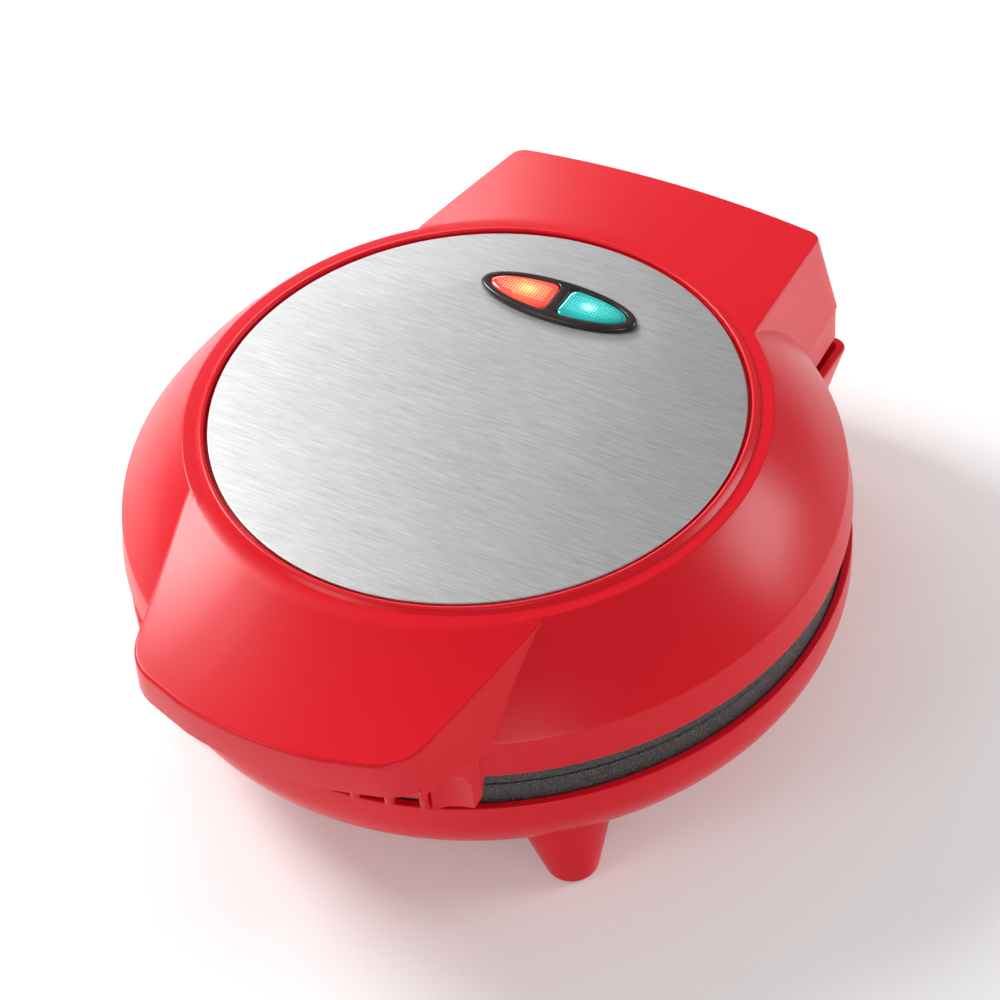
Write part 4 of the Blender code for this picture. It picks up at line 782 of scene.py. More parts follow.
def lid_moulding():
    made = turned("lid_moulding", dome_profile(), ROUND_FACES)
    joined(made, handle(), hinge_housing())
    cut(made, handle_room(WALL), housing_hollow())
    joined(made, skirt(), grip_end(-1), grip_end(1), back_wall())
    cut(made, lid_hollow())
    low = PARTING_Z + UPPER_SHIELD_DEPTH + SHEET + SEAT_GAP
    boss, hole = (low, CEILING_Z + WALL / 2), (low - OVERRUN, low + SCREW_LENGTH)
    for place in shield_bosses():
        screw_boss(made, place, SHIELD_BOSS_RADIUS, boss, hole)
    inner, outer = post_inner() + POST_WIDTH + SEAT_GAP, HOUSING_LOW_BACK_WIDTH / 2 - WALL + EDGE_ROUND
    for side in (-1, 1):
        cut(made, scoop(side))
        joined(made, knuckle(side, inner, outer))
        cut(made, pin_hole(side, pin_span()[1] + SEAT_GAP))
    return cut(made, window_cutter(CEILING_Z - OVERRUN))


def lid_disc():
    """The thin steel disc, with its pressed edge turned down."""
    low = DISC_TOP_Z - DISC_THICKNESS
    edge = DISC_THICKNESS / 2
    profile = [(0, DISC_TOP_Z)]
    profile += arc((DISC_RADIUS - edge, DISC_TOP_Z - edge), (edge, edge), pi / 2, 0, EDGE_STEPS)
    profile += [(DISC_RADIUS, low), (0, low)]
    return cut(turned("brushed_disc", profile, ROUND_FACES), window_cutter(low - OVERRUN))


# ---- indicator window


def window_outline(side, inset):
    """Half an ellipse beside the divider, with rounded corners at the divider."""
    length = BEZEL_HALF_LENGTH - BEZEL_BAND - inset
    width = BEZEL_HALF_WIDTH - BEZEL_SIDE_BAND - inset
    near = BEZEL_DIVIDER / 2 + inset
    first = asin(min(near / length, 1))
    turns = steps_between(first, pi - first, WINDOW_STEPS)
    curve = [(length * sin(turn), -width * cos(turn)) for turn in turns]
    points = [(near, 0, 0), (near, curve[0][1], LENS_CORNER)]
    points += [(x, y, 0) for x, y in curve[1:-1] if x > near + LENS_CORNER * CORNER_REACH_SHARE]
    points += [(near, curve[-1][1], LENS_CORNER), (near, 0, 0)]
    outline = filleted(points, HEAD_STEPS)[:-1]
    return [(side * x, WINDOW_Y + y) for x, y in outline]


def window_bezel():
    """The oval frame, with a rounded outer edge and a rounded step down to each lens."""
    faces = PART_FACES * 2
    seat = DISC_TOP_Z + SEAT_GAP

    def ring(drawn_in, height):
        length, width = BEZEL_HALF_LENGTH - drawn_in, BEZEL_HALF_WIDTH - drawn_in
        return level(ellipse(length, width, WINDOW_Y, faces), height)

    fit = BEZEL_LIP + SEAT_GAP
    sections = [ring(fit, seat - BEZEL_NECK_DEPTH), ring(fit, seat), ring(0, seat)]
    for turn in steps_between(0, pi / 2, BEZEL_STEPS):
        height = seat + BEZEL_HEIGHT / 4 + BEZEL_HEIGHT * 3 / 4 * sin(turn)
        sections.append(ring(BEZEL_LIP * (1 - cos(turn)), height))
    made = loft("window_bezel", sections)
    low, high = seat - BEZEL_NECK_DEPTH - OVERRUN, seat + BEZEL_HEIGHT
    for side in (-1, 1):
        sections = [level(window_outline(side, 0), low)]
        for turn in steps_between(0, pi / 2, LIP_STEPS):
            inset = -EDGE_ROUND / 2 * (1 - cos(turn))
            height = high + HAIR - EDGE_ROUND / 2 * (1 - sin(turn))
            sections.append(level(window_outline(side, inset), height))
        sections.append(level(window_outline(side, -EDGE_ROUND / 2), high + OVERRUN))
        cut(made, loft("window", sections))
    return made


def window_lens(name, side):
    """A clear cap with a low crown."""
    seat = DISC_TOP_Z + SEAT_GAP
    top = seat + BEZEL_HEIGHT - EDGE_ROUND / 2
    sections = [level(window_outline(side, LENS_CLEARANCE), seat - BEZEL_NECK_DEPTH)]
    for turn in steps_between(0, LENS_CROWN_ANGLE, ARC_STEPS):
        inset = LENS_CLEARANCE + 2 * EDGE_ROUND * (1 - cos(turn))
        sections.append(level(window_outline(side, inset), top + LENS_CROWN * sin(turn)))
    return loft(name, sections)


# ---- base


def bowl_profile(outer_radius, floor_radius, top, floor, grow, lip=0):
    """The base bowl's profile: a short upright band, then a quarter of an ellipse to the floor."""
    band = top - BASE_BAND_HEIGHT
    profile = [(outer_radius, top)]
    if lip:
        profile = arc((outer_radius - lip, top - lip), (lip, lip), pi / 2, 0, LIP_STEPS)
    quarter = (outer_radius - floor_radius, floor - band)
    profile += arc((floor_radius, band), quarter, 0, pi / 2, BOWL_STEPS)
    return profile + [(0, floor), (0, top + grow)]


def foot(x, y, inset, levels):
    """A tapered foot whose top leans towards the bowl's axis. levels are (height, drawn in) pairs."""
    middle = Vector((x, y))
    inward = -middle.normalized()
    sections = []
    for height, drawn_in in levels:
        share = (height - FOOT_LOW_Z) / (FOOT_TOP_Z - FOOT_LOW_Z)
        radius = blend(FOOT_TIP_RADIUS, FOOT_TOP_RADIUS, share) - inset - drawn_in
        centre = middle + inward * FOOT_LEAN * share
        turns = full_turn(PART_FACES)
        sections.append([(centre.x + radius * cos(t), centre.y + radius * sin(t), height) for t in turns])
    return loft("foot", sections)


def outer_foot(x, y):
    levels = []
    for turn in steps_between(pi / 2, 0, ARC_STEPS):
        levels.append((FOOT_LOW_Z + FOOT_ROUND * (1 - sin(turn)), FOOT_ROUND * (1 - cos(turn))))
    return foot(x, y, 0, levels + [(FOOT_TOP_Z, 0)])


def foot_room(x, y):
    return foot(x, y, WALL, [(PAD_HEIGHT + SEAT_GAP + WALL, 0), (FOOT_TOP_Z + OVERRUN, 0)])


def box_outlines(inset=0):
    bow, corner = BOX_BACK_BOW, BOX_CORNER_RADIUS
    top = bowed_outline(BOX_FRONT_Y, BOX_TOP_WIDTH, BOX_REACH, BOX_TOP_WIDTH, bow, corner, inset)
    low = bowed_outline(BOX_FRONT_Y, BOX_LOW_WIDTH, BOX_LOW_REACH, BOX_LOW_WIDTH, bow, corner, inset)
    return top, below(top, low)


def hinge_box():
    top, low = box_outlines()
    sections = []
    for (tx, ty), (lx, ly) in zip(top, low):
        reach = hypot(tx, ty)
        ux, uy = tx / reach, ty / reach
        rx, ry = ux * BOX_ROOT_RADIUS, uy * BOX_ROOT_RADIUS
        section = [(rx, ry, BOX_TOP_Z)]
        for turn in steps_between(pi / 2, 0, LIP_STEPS):
            drawn_in = EDGE_ROUND * (1 - cos(turn))
            section.append((tx - ux * drawn_in, ty - uy * drawn_in, BOX_TOP_Z - EDGE_ROUND * (1 - sin(turn))))
        sections.append(section + [(lx, ly, BOX_LOW_Z), (rx, ry, BOX_LOW_Z)])
    return loft("hinge_box", sections)


def box_hollow():
    """The room in the hinge box behind the bowl's wall, open above."""
    top, low = box_outlines(WALL)
    root = BODY_RADIUS + EDGE_ROUND
    rise = (OVERRUN + BOX_TOP_Z - BOX_LOW_Z) / (BOX_TOP_Z - BOX_LOW_Z)
    sections = []
    for (tx, ty), (lx, ly) in zip(top, low):
        if hypot(lx, ly) < root + WALL:
            continue
        hx, hy = blend(lx, tx, rise), blend(ly, ty, rise)
        reach = hypot(tx, ty)
        rx, ry = tx / reach * root, ty / reach * root
        high, floor = BOX_TOP_Z + OVERRUN, BOX_LOW_Z + WALL
        sections.append([(rx, ry, high), (hx, hy, high), (lx, ly, floor), (rx, ry, floor)])
    return loft("box_hollow", sections)


def hinge_post(side):
    inner = post_inner()
    ends = sorted((side * (inner + SEAT_GAP), side * (inner + POST_WIDTH - SEAT_GAP)))
    low = (ends[0], HINGE_Y - POST_DEPTH, BOX_LOW_Z + WALL / 2)
    made = block("post", low, (ends[1], HINGE_Y, HINGE_Z - EDGE_ROUND))
    return joined(made, knuckle(side, inner, inner + POST_WIDTH))


def gland_place():
    slope = (BOX_REACH - BOX_LOW_REACH) / (BOX_TOP_Z - BOX_LOW_Z)
    wall_y = BOX_REACH - slope * (BOX_TOP_Z - GLAND_Z)
    return Matrix.Translation((0, wall_y, GLAND_Z)) @ Matrix.Rotation(-pi / 2 - atan(slope), 4, "X")


def base_moulding():
    outer = bowl_profile(BODY_RADIUS, BASE_FLOOR_RADIUS, BASE_RIM_Z, BASE_FLOOR_Z, 0, EDGE_ROUND / 2)
    made = turned("base_moulding", outer, ROUND_FACES)
    feet = [(x, y) for x in (-FOOT_X, FOOT_X) for y in (-FOOT_Y, FOOT_Y)]
    joined(made, hinge_box(), *(outer_foot(x, y) for x, y in feet))
    rim = PLATE_RADIUS + PLATE_GAP
    inner = bowl_profile(rim, BASE_FLOOR_RADIUS, BASE_RIM_Z, BASE_FLOOR_Z + WALL, OVERRUN)
    inner.insert(0, (rim, BASE_RIM_Z + OVERRUN))
    half, low = WIRE_WINDOW_WIDTH / 2, BOX_LOW_Z + WALL + OVERRUN
    window_end = (half, BODY_RADIUS + EDGE_ROUND + OVERRUN, low + WIRE_WINDOW_HEIGHT)
    window = block("wire_window", (-half, BASE_FLOOR_RADIUS, low), window_end)
    cut(made, turned("bowl_hollow", inner, ROUND_FACES), box_hollow(), window)
    for side in (-1, 1):
        joined(made, hinge_post(side))
        cut(made, pin_hole(side, post_inner() + POST_WIDTH + OVERRUN))
    top, floor = PARTING_Z - LOWER_SHIELD_DEPTH - SHEET - SEAT_GAP, BASE_FLOOR_Z + WALL
    boss, hole = (floor - WALL / 2, top), (top - SCREW_LENGTH + EDGE_ROUND, top + OVERRUN)
    for place in shield_bosses():
        screw_boss(made, place, SHIELD_BOSS_RADIUS, boss, hole)
    for x, y in feet:
        start, end = (x, y, -OVERRUN), (x, y, PAD_HEIGHT + SEAT_GAP)
        cut(made, rod("seat", PAD_RADIUS + SEAT_GAP, start, end, PART_FACES), foot_room(x, y))
    hole = rod("hole", GLAND_NECK_RADIUS + SEAT_GAP, (0, 0, -OVERRUN - WALL), (0, 0, OVERRUN), PART_FACES)
    return cut(made, placed(hole, gland_place()))


# ---- cooking plates


def half_moon(inset):
    """The D-shaped outline of a pocket to the right of the divider, drawn in by inset."""
    edge = DIVIDER_WIDTH / 2 + inset
    radius = POCKET_RADIUS - inset
    corner = POCKET_CORNER - inset / 2
    centre_x = edge + corner
    centre_y = sqrt((radius - corner) ** 2 - centre_x**2)
    swing = atan2(centre_y, centre_x)
    low = arc((centre_x, -centre_y), (corner, corner), -pi, -swing, POCKET_STEPS)
    side = arc((0, 0), (radius, radius), -swing, swing, WALL_STEPS)[1:-1]
    return low + side + arc((centre_x, centre_y), (corner, corner), swing, pi, POCKET_STEPS)


def pocket(side, grow, start):
    """A dished half-moon with a rounded floor: the hollow with grow 0, its back with the wall's thickness."""
    sections = [[(side * x, y, start) for x, y in half_moon(-grow)]]
    for i in range(POCKET_STEPS + 1):
        turn = pi / 2 * i / POCKET_STEPS
        depth = (POCKET_DEPTH + grow) * sin(turn)
        if depth > start:
            outline = half_moon(POCKET_SLOPE * (1 - cos(turn)) - grow)
            sections.append([(side * x, y, depth) for x, y in outline])
    return loft("pocket", sections)


def cooking_plate(name, side, depth):
    """A cast plate with two half-moon pockets. side is 1 above the parting plane and -1 below."""
    face = SEAT_GAP / 2
    back = face + PLATE_WEB
    rim, round_size = PLATE_RADIUS, PLATE_BEVEL
    edge = rim - PLATE_EDGE_THICKNESS
    profile = [(0, face)]
    profile += arc((rim - round_size, face + round_size), (round_size, round_size), -pi / 2, 0, EDGE_STEPS)
    profile += [(rim, PLATE_EDGE_HEIGHT), (edge, PLATE_EDGE_HEIGHT), (edge, back), (0, back)]
    made = turned(name, profile, PLATE_FACES)
    web = back - PLATE_WEB / 2
    joined(made, pocket(-1, POCKET_WALL, web), pocket(1, POCKET_WALL, web))
    cut(made, pocket(-1, 0, face - OVERRUN), pocket(1, 0, face - OVERRUN))
    top = depth - SEAT_GAP
    for y in (-PLATE_BOSS_Y, PLATE_BOSS_Y):
        screw_boss(made, (0, y), PLATE_BOSS_RADIUS, (web, top), (top - SCREW_LENGTH, top + OVERRUN))
    return placed(made, Matrix.Translation((0, 0, PARTING_Z)) @ Matrix.Scale(side, 4, (0, 0, 1)))


# ---- nodes


def fill(made, inputs):
    """Gives each named input of a node a value, or a link from another node."""
    for label, given in inputs.items():
        if isinstance(given, bpy.types.NodeSocket):
            made.id_data.links.new(given, made.inputs[label])
        else:
            made.inputs[label].default_value = given


def node(tree, kind, inputs, output=0, **settings):
    """Adds a node with its settings and inputs, and gives one of its outputs."""
    made = tree.nodes.new(kind)
    for name, value in settings.items():
        setattr(made, name, value)
    fill(made, inputs)
    return made.outputs[output]


# ---- geometry node trees


def new_tree(name, inputs):
    """A geometry node group with a geometry, a finish and named inputs of the kinds given."""
    tree = bpy.data.node_groups.new(name, "GeometryNodeTree")
    for label, kind in {"Geometry": "Geometry", **inputs, "Finish": "Material"}.items():
        tree.interface.new_socket(label, in_out="INPUT", socket_type=f"NodeSocket{kind}")
    tree.interface.new_socket("Geometry", in_out="OUTPUT", socket_type="NodeSocketGeometry")
    return tree, tree.nodes.new("NodeGroupInput").outputs


def ended(tree, geometry, finish):
    """Realises the instances and gives the result its material."""
    real = node(tree, "GeometryNodeRealizeInstances", {"Geometry": geometry})
    result = node(tree, "GeometryNodeSetMaterial", {"Geometry": real, "Material": finish})
    fill(tree.nodes.new("NodeGroupOutput"), {"Geometry": result})
    return tree


def run_tree(made, tree, values):
    """Runs a tree on the object with its inputs set, and leaves the plain mesh."""
    modifier = made.modifiers.new("made_by_rule", "NODES")
    modifier.node_group = tree
    for item in tree.interface.items_tree:
        if item.in_out == "INPUT" and item.name in values:
            modifier[item.identifier] = values[item.name]
    made.data.update()
    return evaluated(made)


def tube_tree():
    """A round tube along a path, with rounded bends and closed ends."""
    tree, given = new_tree("tube_along_path", {"Radius": "Float", "Bend radius": "Float"})
    path = node(tree, "GeometryNodeMeshToCurve", {"Mesh": given["Geometry"]})
    bends = {"Curve": path, "Radius": given["Bend radius"], "Count": HEAD_STEPS, "Limit Radius": True}
    path = node(tree, "GeometryNodeFilletCurve", bends, mode="POLY")
    ring = {"Resolution": TUBE_FACES, "Radius": given["Radius"]}
    ring = node(tree, "GeometryNodeCurvePrimitiveCircle", ring)
    tube = {"Curve": path, "Profile Curve": ring, "Fill Caps": True}
    tube = node(tree, "GeometryNodeCurveToMesh", tube)
    return ended(tree, node(tree, "GeometryNodeSetShadeSmooth", {"Geometry": tube}), given["Finish"])


def repeat_tree():
    """A copy of one piece on each point of the mesh, turned as the point says."""
    tree, given = new_tree("one_on_each_point", {"Piece": "Object"})
    piece = node(tree, "GeometryNodeObjectInfo", {"Object": given["Piece"]}, "Geometry")
    turn = {"Name": "turn"}
    turn = node(tree, "GeometryNodeInputNamedAttribute", turn, "Attribute", data_type="FLOAT_VECTOR")
    spread = {"Points": given["Geometry"], "Instance": piece, "Rotation": turn}
    return ended(tree, node(tree, "GeometryNodeInstanceOnPoints", spread), given["Finish"])


def points_mesh(name, places, edges=(), turns=()):
    """A mesh of points and edges, with a turn noted on each point where turns are given."""
    mesh = bpy.data.meshes.new(name)
    mesh.from_pydata(places, edges, [])
    if turns:
        note = mesh.attributes.new("turn", "FLOAT_VECTOR", "POINT")
        for item, turn in zip(note.data, turns):
            item.vector = turn
    return added(name, mesh)


def repeated(name, shape, tree, finish, places, turns=()):
    """One mesh with the shape on each place."""
    made = run_tree(points_mesh(name, places, turns=turns), tree, {"Piece": shape, "Finish": finish})
    bpy.data.objects.remove(shape)
    return made


def heater_tube(name, side, tree, finish):
    """The heater's tube: round both pockets, open at the hinge, its ends turned away from the plate."""
    radius = (POCKET_RADIUS + POCKET_WALL + PLATE_RADIUS - PLATE_EDGE_THICKNESS) / 2
    height = SEAT_GAP / 2 + PLATE_WEB + SEAT_GAP + ELEMENT_RADIUS
    first, last = pi / 2 + ELEMENT_OPEN_ANGLE, 2.5 * pi - ELEMENT_OPEN_ANGLE
    points = level(arc((0, 0), (radius, radius), first, last, HEATER_STEPS), height)
    end = height + ELEMENT_END_HEIGHT
    points = [(*points[0][:2], end), *points, (*points[-1][:2], end)]
    places = [(x, y, PARTING_Z + side * z) for x, y, z in points]
    edges = [(i, i + 1) for i in range(len(places) - 1)]
    values = {"Radius": ELEMENT_RADIUS, "Bend radius": ELEMENT_RADIUS, "Finish": finish}
    return run_tree(points_mesh(name, places, edges), tree, values)


def screw_shape():
    """A pan-head screw with a cross recess, its head's underside at height zero."""
    head, edge = SCREW_HEAD_HEIGHT, SCREW_HEAD_HEIGHT / 2
    profile = [(0, head)]
    profile += arc((SCREW_HEAD_RADIUS - edge, head - edge), (edge, edge), pi / 2, 0, HEAD_STEPS)
    profile += [(SCREW_HEAD_RADIUS, 0), (SCREW_RADIUS, 0)]
    for i in range(int((SCREW_LENGTH - 2 * THREAD_PITCH) / THREAD_PITCH)):
        low = -THREAD_PITCH * (i + 1)
        profile += [(SCREW_RADIUS, low), (SCREW_RADIUS - THREAD_PITCH / 3, low - THREAD_PITCH / 2)]
    profile += [(SCREW_RADIUS / 2, -SCREW_LENGTH), (0, -SCREW_LENGTH)]
    made = turned("screw_shape", profile, SMALL_FACES)
    slot, reach = RECESS_HALF_WIDTH, RECESS_REACH
    for half_x, half_y in ((slot, reach), (reach, slot)):
        cut(made, block("recess", (-half_x, -half_y, head / 2), (half_x, half_y, head + OVERRUN)))
    return made


def dot_shape():
    """One low dome of the lens's dotted face."""
    profile = [(0, -DOT_RADIUS), (DOT_RADIUS, -DOT_RADIUS)]
    profile += arc((0, 0), (DOT_RADIUS, DOT_RADIUS / 2), 0, DOT_ANGLE, LIP_STEPS)
    profile.append((0, profile[-1][1]))
    return turned("dot_shape", profile, DOT_FACES)


def dot_places(side):
    """A square grid of points on the lens's crown, inside its rounded edge."""
    top = DISC_TOP_Z + SEAT_GAP + BEZEL_HEIGHT - EDGE_ROUND / 2 + LENS_CROWN * sin(LENS_CROWN_ANGLE)
    length = BEZEL_HALF_LENGTH - BEZEL_BAND - LENS_CLEARANCE - 2 * EDGE_ROUND
    width = BEZEL_HALF_WIDTH - BEZEL_SIDE_BAND - LENS_CLEARANCE - 2 * EDGE_ROUND
    near = BEZEL_DIVIDER / 2 + LENS_CLEARANCE + 2 * EDGE_ROUND
    places = []
    for i in range(int(length / DOT_PITCH)):
        for j in range(-int(width / DOT_PITCH), int(width / DOT_PITCH) + 1):
            x, y = near + DOT_PITCH * i, DOT_PITCH * j
            if (x / length) ** 2 + (y / width) ** 2 < 1:
                places.append((side * x, WINDOW_Y + y, top - HAIR))
    return places


# ---- finishes


def start_finish(name, colour, roughness, metallic=0.0):
    """A material, its shader and the object coordinates."""
    made = bpy.data.materials.new(name)
    made.use_nodes = True
    shader = made.node_tree.nodes["Principled BSDF"]
    fill(shader, {"Base Color": (*colour, 1), "Roughness": roughness, "Metallic": metallic})
    return made, shader, node(made.node_tree, "ShaderNodeTexCoord", {}, "Object")


def mapped(where, scale=(1, 1, 1), location=(0, 0, 0)):
    inputs = {"Vector": where, "Location": location, "Scale": scale}
    return node(where.id_data, "ShaderNodeMapping", inputs)


def noise(where, scale, detail=2.0, roughness=0.5):
    inputs = {"Vector": where, "Scale": scale, "Detail": detail, "Roughness": roughness}
    return node(where.id_data, "ShaderNodeTexNoise", inputs, "Fac")


def painted(shader, pattern, stops):
    """Colours the shader by a pattern, through stops of (place, colour)."""
    ramp = shader.id_data.nodes.new("ShaderNodeValToRGB")
    band = ramp.color_ramp
    while len(band.elements) < len(stops):
        band.elements.new(1.0)
    for element, (place, colour) in zip(band.elements, stops):
        element.position = place
        element.color = (*colour, 1)
    fill(ramp, {"Fac": pattern})
    fill(shader, {"Base Color": ramp.outputs["Color"]})
    return ramp.outputs["Color"]


def polished(shader, pattern, low, high):
    """Varies the shader's roughness by a pattern."""
    inputs = {"Value": pattern, "To Min": low, "To Max": high}
    fill(shader, {"Roughness": node(shader.id_data, "ShaderNodeMapRange", inputs, "Result")})


def bumped(shader, pattern, strength, distance):
    inputs = {"Height": pattern, "Strength": strength, "Distance": distance}
    fill(shader, {"Normal": node(shader.id_data, "ShaderNodeBump", inputs)})


def red_plastic():
    made, shader, where = start_finish("glossy_red_plastic", (0.75, 0.005, 0.016), 0.28)
    painted(shader, noise(where, 14, 1), [(0.2, (0.72, 0.004, 0.015)), (0.8, (0.78, 0.006, 0.018))])
    polished(shader, noise(where, 35, 1), 0.27, 0.31)
    fill(shader, {"Specular IOR Level": 0.3})
    bumped(shader, noise(where, 1100, 1), 0.02, 0.0002)
    return made


def steel():
    made, shader, where = start_finish("straight_brushed_steel", (0.62, 0.62, 0.62), 0.34, 1.0)
    fine = noise(mapped(where, (230, 6400, 230)), 1, 3, 0.6)
    broad = noise(mapped(where, (90, 2900, 90)), 1, 3, 0.6)
    inputs = {"Factor": 0.5, "A": fine, "B": broad}
    streak = node(where.id_data, "ShaderNodeMix", inputs, "Result", data_type="FLOAT")
    greys = [(0.34, 0.42), (0.5, 0.53), (0.66, 0.65)]
    painted(shader, streak, [(place, (grey,) * 3) for place, grey in greys])
    polished(shader, streak, 0.46, 0.58)
    bumped(shader, streak, 0.05, 0.0002)
    return made


def dark_plastic():
    made, shader, where = start_finish("dark_brown_gloss", (0.022, 0.012, 0.010), 0.2)
    polished(shader, noise(where, 300, 3), 0.16, 0.3)
    painted(shader, noise(where, 90, 2), [(0.35, (0.016, 0.009, 0.008)), (0.7, (0.032, 0.019, 0.016))])
    bumped(shader, noise(where, 1800, 1), 0.05, 0.0001)
    return made


def lens_finish(name, middle, stops, glow):
    """A clear coloured cap with a painted glow: emission and colour, brightest over the lamp behind it, stand
    in for the lamp's light.
    """
    made, shader, where = start_finish(name, stops[-1][1], 0.12)
    centred = mapped(where, location=(-middle, -WINDOW_Y - SHIFT_Y, -DISC_TOP_Z))
    inputs = {0: mapped(centred, (85, 130, 40))}
    away = node(where.id_data, "ShaderNodeVectorMath", inputs, "Value", operation="LENGTH")
    # Painted glow: the ramp's colour, brightest at the lamp's centre, feeds both the base colour and the
    # emission.
    painted_glow_spot = painted(shader, away, stops)
    fill(shader, {"Emission Color": painted_glow_spot, "Emission Strength": glow})
    fill(shader, {"Coat Weight": 0.5, "Coat Roughness": 0.05})
    bumped(shader, noise(where, 900, 1), 0.05, 0.0002)
    return made


def non_stick():
    made, shader, where = start_finish("speckled_non_stick", (0.02, 0.02, 0.021), 0.5)
    speck = noise(where, 2300, 2, 0.7)
    stops = [(0.40, (0.014, 0.013, 0.013)), (0.54, (0.045, 0.043, 0.043)), (0.68, (0.17, 0.165, 0.165))]
    painted(shader, speck, stops)
    polished(shader, speck, 0.62, 0.36)
    bumped(shader, speck, 0.25, 0.0003)
    return made


def mottled(start, patches, shades, spread, grain, strength, distance):
    """A finish with soft patches, from start_finish's values, and a fine grain on its surface."""
    made, shader, where = start_finish(*start)
    colour, roughness = start[1:3]
    pattern = noise(where, *patches)
    dark, light = (tuple(min(c * share, 1) for c in colour) for share in shades)
    painted(shader, pattern, [(0.3, dark), (0.7, light)])
    polished(shader, pattern, roughness - spread[0], roughness + spread[1])
    bumped(shader, noise(where, grain, 2), strength, distance)
    return made


def sheet_metal(name, colour, roughness, grain):
    start = (name, colour, roughness, 1.0)
    return mottled(start, (grain, 4), (0.85, 1.12), (0.08, 0.1), grain * 8, 0.08, 0.0002)


def matt(name, colour, roughness, grain, depth):
    start = (name, colour, roughness)
    return mottled(start, (grain / 10, 3), (0.88, 1.15), (0.06, 0.08), grain, depth, 0.0003)


def lamp_glass():
    made, shader, where = start_finish("neon_lamp_glass", (0.85, 0.75, 0.65), 0.06)
    fill(shader, {"Transmission Weight": 0.7, "IOR": 1.47})
    painted(shader, noise(where, 200, 2), [(0.3, (0.80, 0.68, 0.58)), (0.7, (0.90, 0.80, 0.70))])
    return made


# ---- the object


def fitted(made, body, slot, finish, *nodes):
    """Moves a made piece to its place in the frame, and lets it stand for its nodes."""
    made.data.transform(Matrix.Translation((0, SHIFT_Y, 0)))
    made.data.materials.clear()
    made.data.materials.append(finish)
    made.data.shade_smooth()
    made.data.set_sharp_from_angle(angle=SMOOTH_ANGLE)
    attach(made, body)
    if nodes:
        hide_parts(*nodes)


def screws(name, side, depth, tree, finish):
    """All screws of one half: four through the shield into the housing, and two through it into the plate."""
    up, down = (0, 0, 0), (pi, 0, 0)
    if side < 0:
        up, down = down, up
    low, high = PARTING_Z + side * (depth - SEAT_GAP), PARTING_Z + side * (depth + SHEET + SEAT_GAP)
    places = [(x, y, low) for x, y in shield_bosses()]
    places += [(0, y, high) for y in (-PLATE_BOSS_Y, PLATE_BOSS_Y)]
    return repeated(name, screw_shape(), tree, finish, places, [down] * 4 + [up] * 2)


def build_object():
    # Painted glow of both lenses: colour stops from a bright centre outwards, fed to emission; the green lens
    # is painted glowing with a near-white centre too.
    red_painted_glow = [(0.0, (1.0, 0.55, 0.10)), (0.35, (0.98, 0.16, 0.06)), (1.0, (0.80, 0.03, 0.03))]
    green_painted_glow = [(0.0, (0.55, 0.95, 0.90)), (0.30, (0.02, 0.52, 0.50)), (1.0, (0.0, 0.27, 0.26))]
    red_dots_painted_glow = [(0.0, (1.0, 0.86, 0.35)), (0.35, (1.0, 0.40, 0.22)), (1.0, (0.95, 0.14, 0.12))]
    green_dots_painted_glow = [(0.0, (0.85, 1.0, 1.0)), (0.30, (0.10, 0.66, 0.64)), (1.0, (0.01, 0.36, 0.35))]
    finishes = {
        "red_plastic": red_plastic(),
        "brushed_steel": steel(),
        "dark_plastic": dark_plastic(),
        "non_stick": non_stick(),
        "red_lens": lens_finish("lit_red_lens", -GLOW_X, red_painted_glow, 0.55),
        "green_lens": lens_finish("blue_green_painted_glow_lens", GLOW_X, green_painted_glow, 0.28),
        "zinc_steel": sheet_metal("zinc_plated_steel", (0.62, 0.62, 0.60), 0.34, 260),
        "bright_sheet": sheet_metal("bright_pressed_sheet", (0.66, 0.66, 0.64), 0.30, 90),
        "heater_tube": sheet_metal("heater_sheath", (0.25, 0.26, 0.25), 0.48, 300),
        "cream_plastic": matt("heat_resistant_moulding", (0.75, 0.72, 0.65), 0.5, 900, 0.15),
        "rubber": matt("matt_black_rubber", (0.03, 0.03, 0.03), 0.82, 1200, 0.3),
        "lamp_glass": lamp_glass(),
    }

    def fit(made, body, slot, *nodes):
        fitted(made, body, slot, finishes[slot], *nodes)

    fit(lid_moulding(), "lid", "red_plastic", "lid_shell")
    fit(lid_disc(), "lid", "brushed_steel", "steel_disc")
    fit(window_bezel(), "lid", "dark_plastic", "indicator_bezel")
    repeat, tube = repeat_tree(), tube_tree()
    for name, side, slot, dots in (
        ("power", -1, "red_lens", lens_finish("lit_red_lens_dots", -GLOW_X, red_dots_painted_glow, 0.8)),
        ("ready", 1, "green_lens", lens_finish("blue_green_painted_glow_lens_dots", GLOW_X, green_dots_painted_glow, 0.45)),
    ):
        fit(window_lens(f"{name}_window", side), "lid", slot, f"{name}_lens")
        made = repeated(f"{name}_window_dots", dot_shape(), repeat, dots, dot_places(side))
        fitted(made, "lid", slot, dots)
    fit(base_moulding(), "base", "red_plastic", "base_housing")
    for half, side, body, depth in (
        ("upper", 1, "lid", UPPER_SHIELD_DEPTH),
        ("lower", -1, "base", LOWER_SHIELD_DEPTH),
    ):
        fit(cooking_plate(f"{half}_plate", side, depth), body, "non_stick", f"{half}_cooking_plate")
        heater = heater_tube(f"{half}_heater_tube", side, tube, finishes["heater_tube"])
        fit(heater, body, "heater_tube", f"{half}_heating_element")
        nodes = [f"{half}_shield_screw_{i}" for i in range(1, 5)]
        nodes += [f"{half}_plate_screw_{place}" for place in ("front", "back")]
        fit(screws(f"{half}_screws", side, depth, repeat, finishes["zinc_steel"]), body, "zinc_steel", *nodes)

    for row in frame["record"]["subparts"]:
        solid = frame["nodes"][row["node"]]
        solid.data.materials.clear()
        solid.data.materials.append(finishes[row["material_slot"]])


# ---- room, light and camera


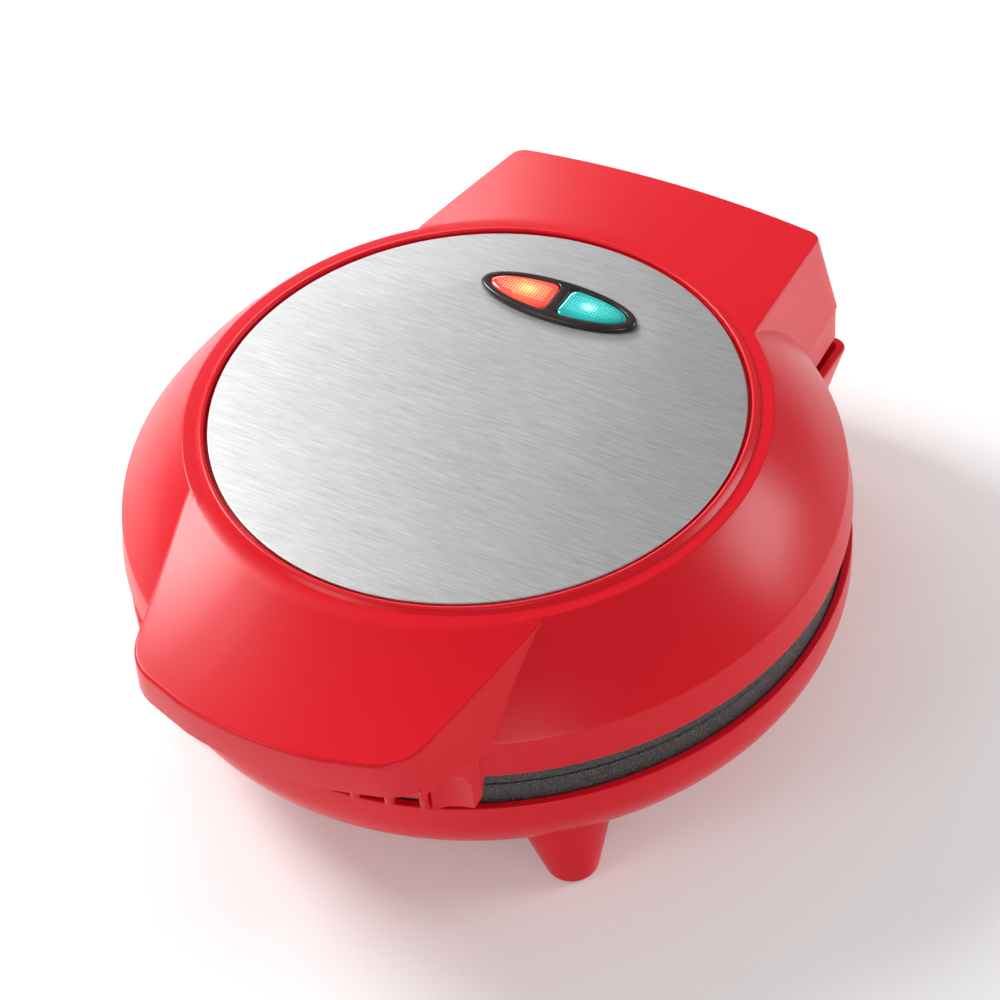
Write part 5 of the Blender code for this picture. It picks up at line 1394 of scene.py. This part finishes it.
def floor_finish():
    """Pale to light, and a little brighter to the eye, gloss and glass, so that it meets them white."""
    made = bpy.data.materials.new("pale_floor")
    made.use_nodes = True
    tree = made.node_tree
    path = tree.nodes.new("ShaderNodeLightPath").outputs
    seen = path["Is Camera Ray"]
    for label in ("Is Glossy Ray", "Is Transmission Ray"):
        seen = node(tree, "ShaderNodeMath", {0: seen, 1: path[label]}, operation="MAXIMUM")
    lift = node(tree, "ShaderNodeMath", {0: seen, 1: FLOOR_LIFT}, operation="MULTIPLY")
    shader = tree.nodes["Principled BSDF"]
    fill(shader, {"Base Color": (0.9, 0.9, 0.9, 1), "Roughness": 0.9, "Specular IOR Level": 0})
    fill(shader, {"Emission Color": (1, 1, 1, 1), "Emission Strength": lift})
    return made


def make_floor():
    mesh = bpy.data.meshes.new("floor")
    corners = [(-FLOOR_HALF, -FLOOR_HALF), (FLOOR_HALF, -FLOOR_HALF)]
    corners += [(FLOOR_HALF, FLOOR_HALF), (-FLOOR_HALF, FLOOR_HALF)]
    mesh.from_pydata(level(corners, 0), [], [(0, 1, 2, 3)])
    mesh.materials.append(floor_finish())
    added("floor", mesh)


def make_world():
    """Even pale light."""
    world = bpy.data.worlds.new("pale_room")
    bpy.context.scene.world = world
    world.use_nodes = True
    fill(world.node_tree.nodes["Background"], {"Color": (1, 1, 1, 1), "Strength": WORLD_STRENGTH})


def softbox(name, place, width, height, power):
    lamp = bpy.data.lights.new(name, "AREA")
    lamp.shape = "RECTANGLE"
    lamp.size, lamp.size_y = width, height
    lamp.energy = power
    made = added(name, lamp)
    made.location = place
    made.rotation_mode = "QUATERNION"
    made.rotation_quaternion = (Vector(LAMP_TARGET) - Vector(place)).to_track_quat("-Z", "Y")


def make_lights():
    softbox("left_softbox", (-1.05, 0.06, 0.90), 0.55, 0.46, 16)
    softbox("back_left_softbox", (-0.86, 0.88, 0.52), 0.6, 0.25, 3.6)
    softbox("right_softbox", (0.95, 0.70, 0.48), 0.5, 0.4, 5)
    softbox("front_left_softbox", (-0.50, -0.95, 0.72), 0.4, 0.3, 1.8)
    softbox("front_right_softbox", (0.78, -1.00, 0.36), 0.4, 0.3, 2.4)


def make_camera():
    around, above, roll = CAMERA_AROUND, CAMERA_ABOVE, CAMERA_ROLL
    right = Vector((cos(around), sin(around), 0))
    up = Vector((-sin(around) * sin(above), cos(around) * sin(above), cos(above)))
    back = Vector((sin(around) * cos(above), -cos(around) * cos(above), sin(above)))
    across = right * cos(roll) + up * sin(roll)
    upward = up * cos(roll) - right * sin(roll)
    lens = bpy.data.cameras.new("camera")
    lens.lens, lens.sensor_width = LENS_LENGTH, SENSOR_WIDTH
    made = added("camera", lens)
    rows = [(across[i], upward[i], back[i], CAMERA_PLACE[i]) for i in range(3)]
    made.matrix_world = Matrix((*rows, (0, 0, 0, 1)))
    bpy.context.scene.camera = made


build_object()
make_floor()
make_world()
make_lights()
make_camera()
bpy.context.scene.view_settings.view_transform = "Standard"
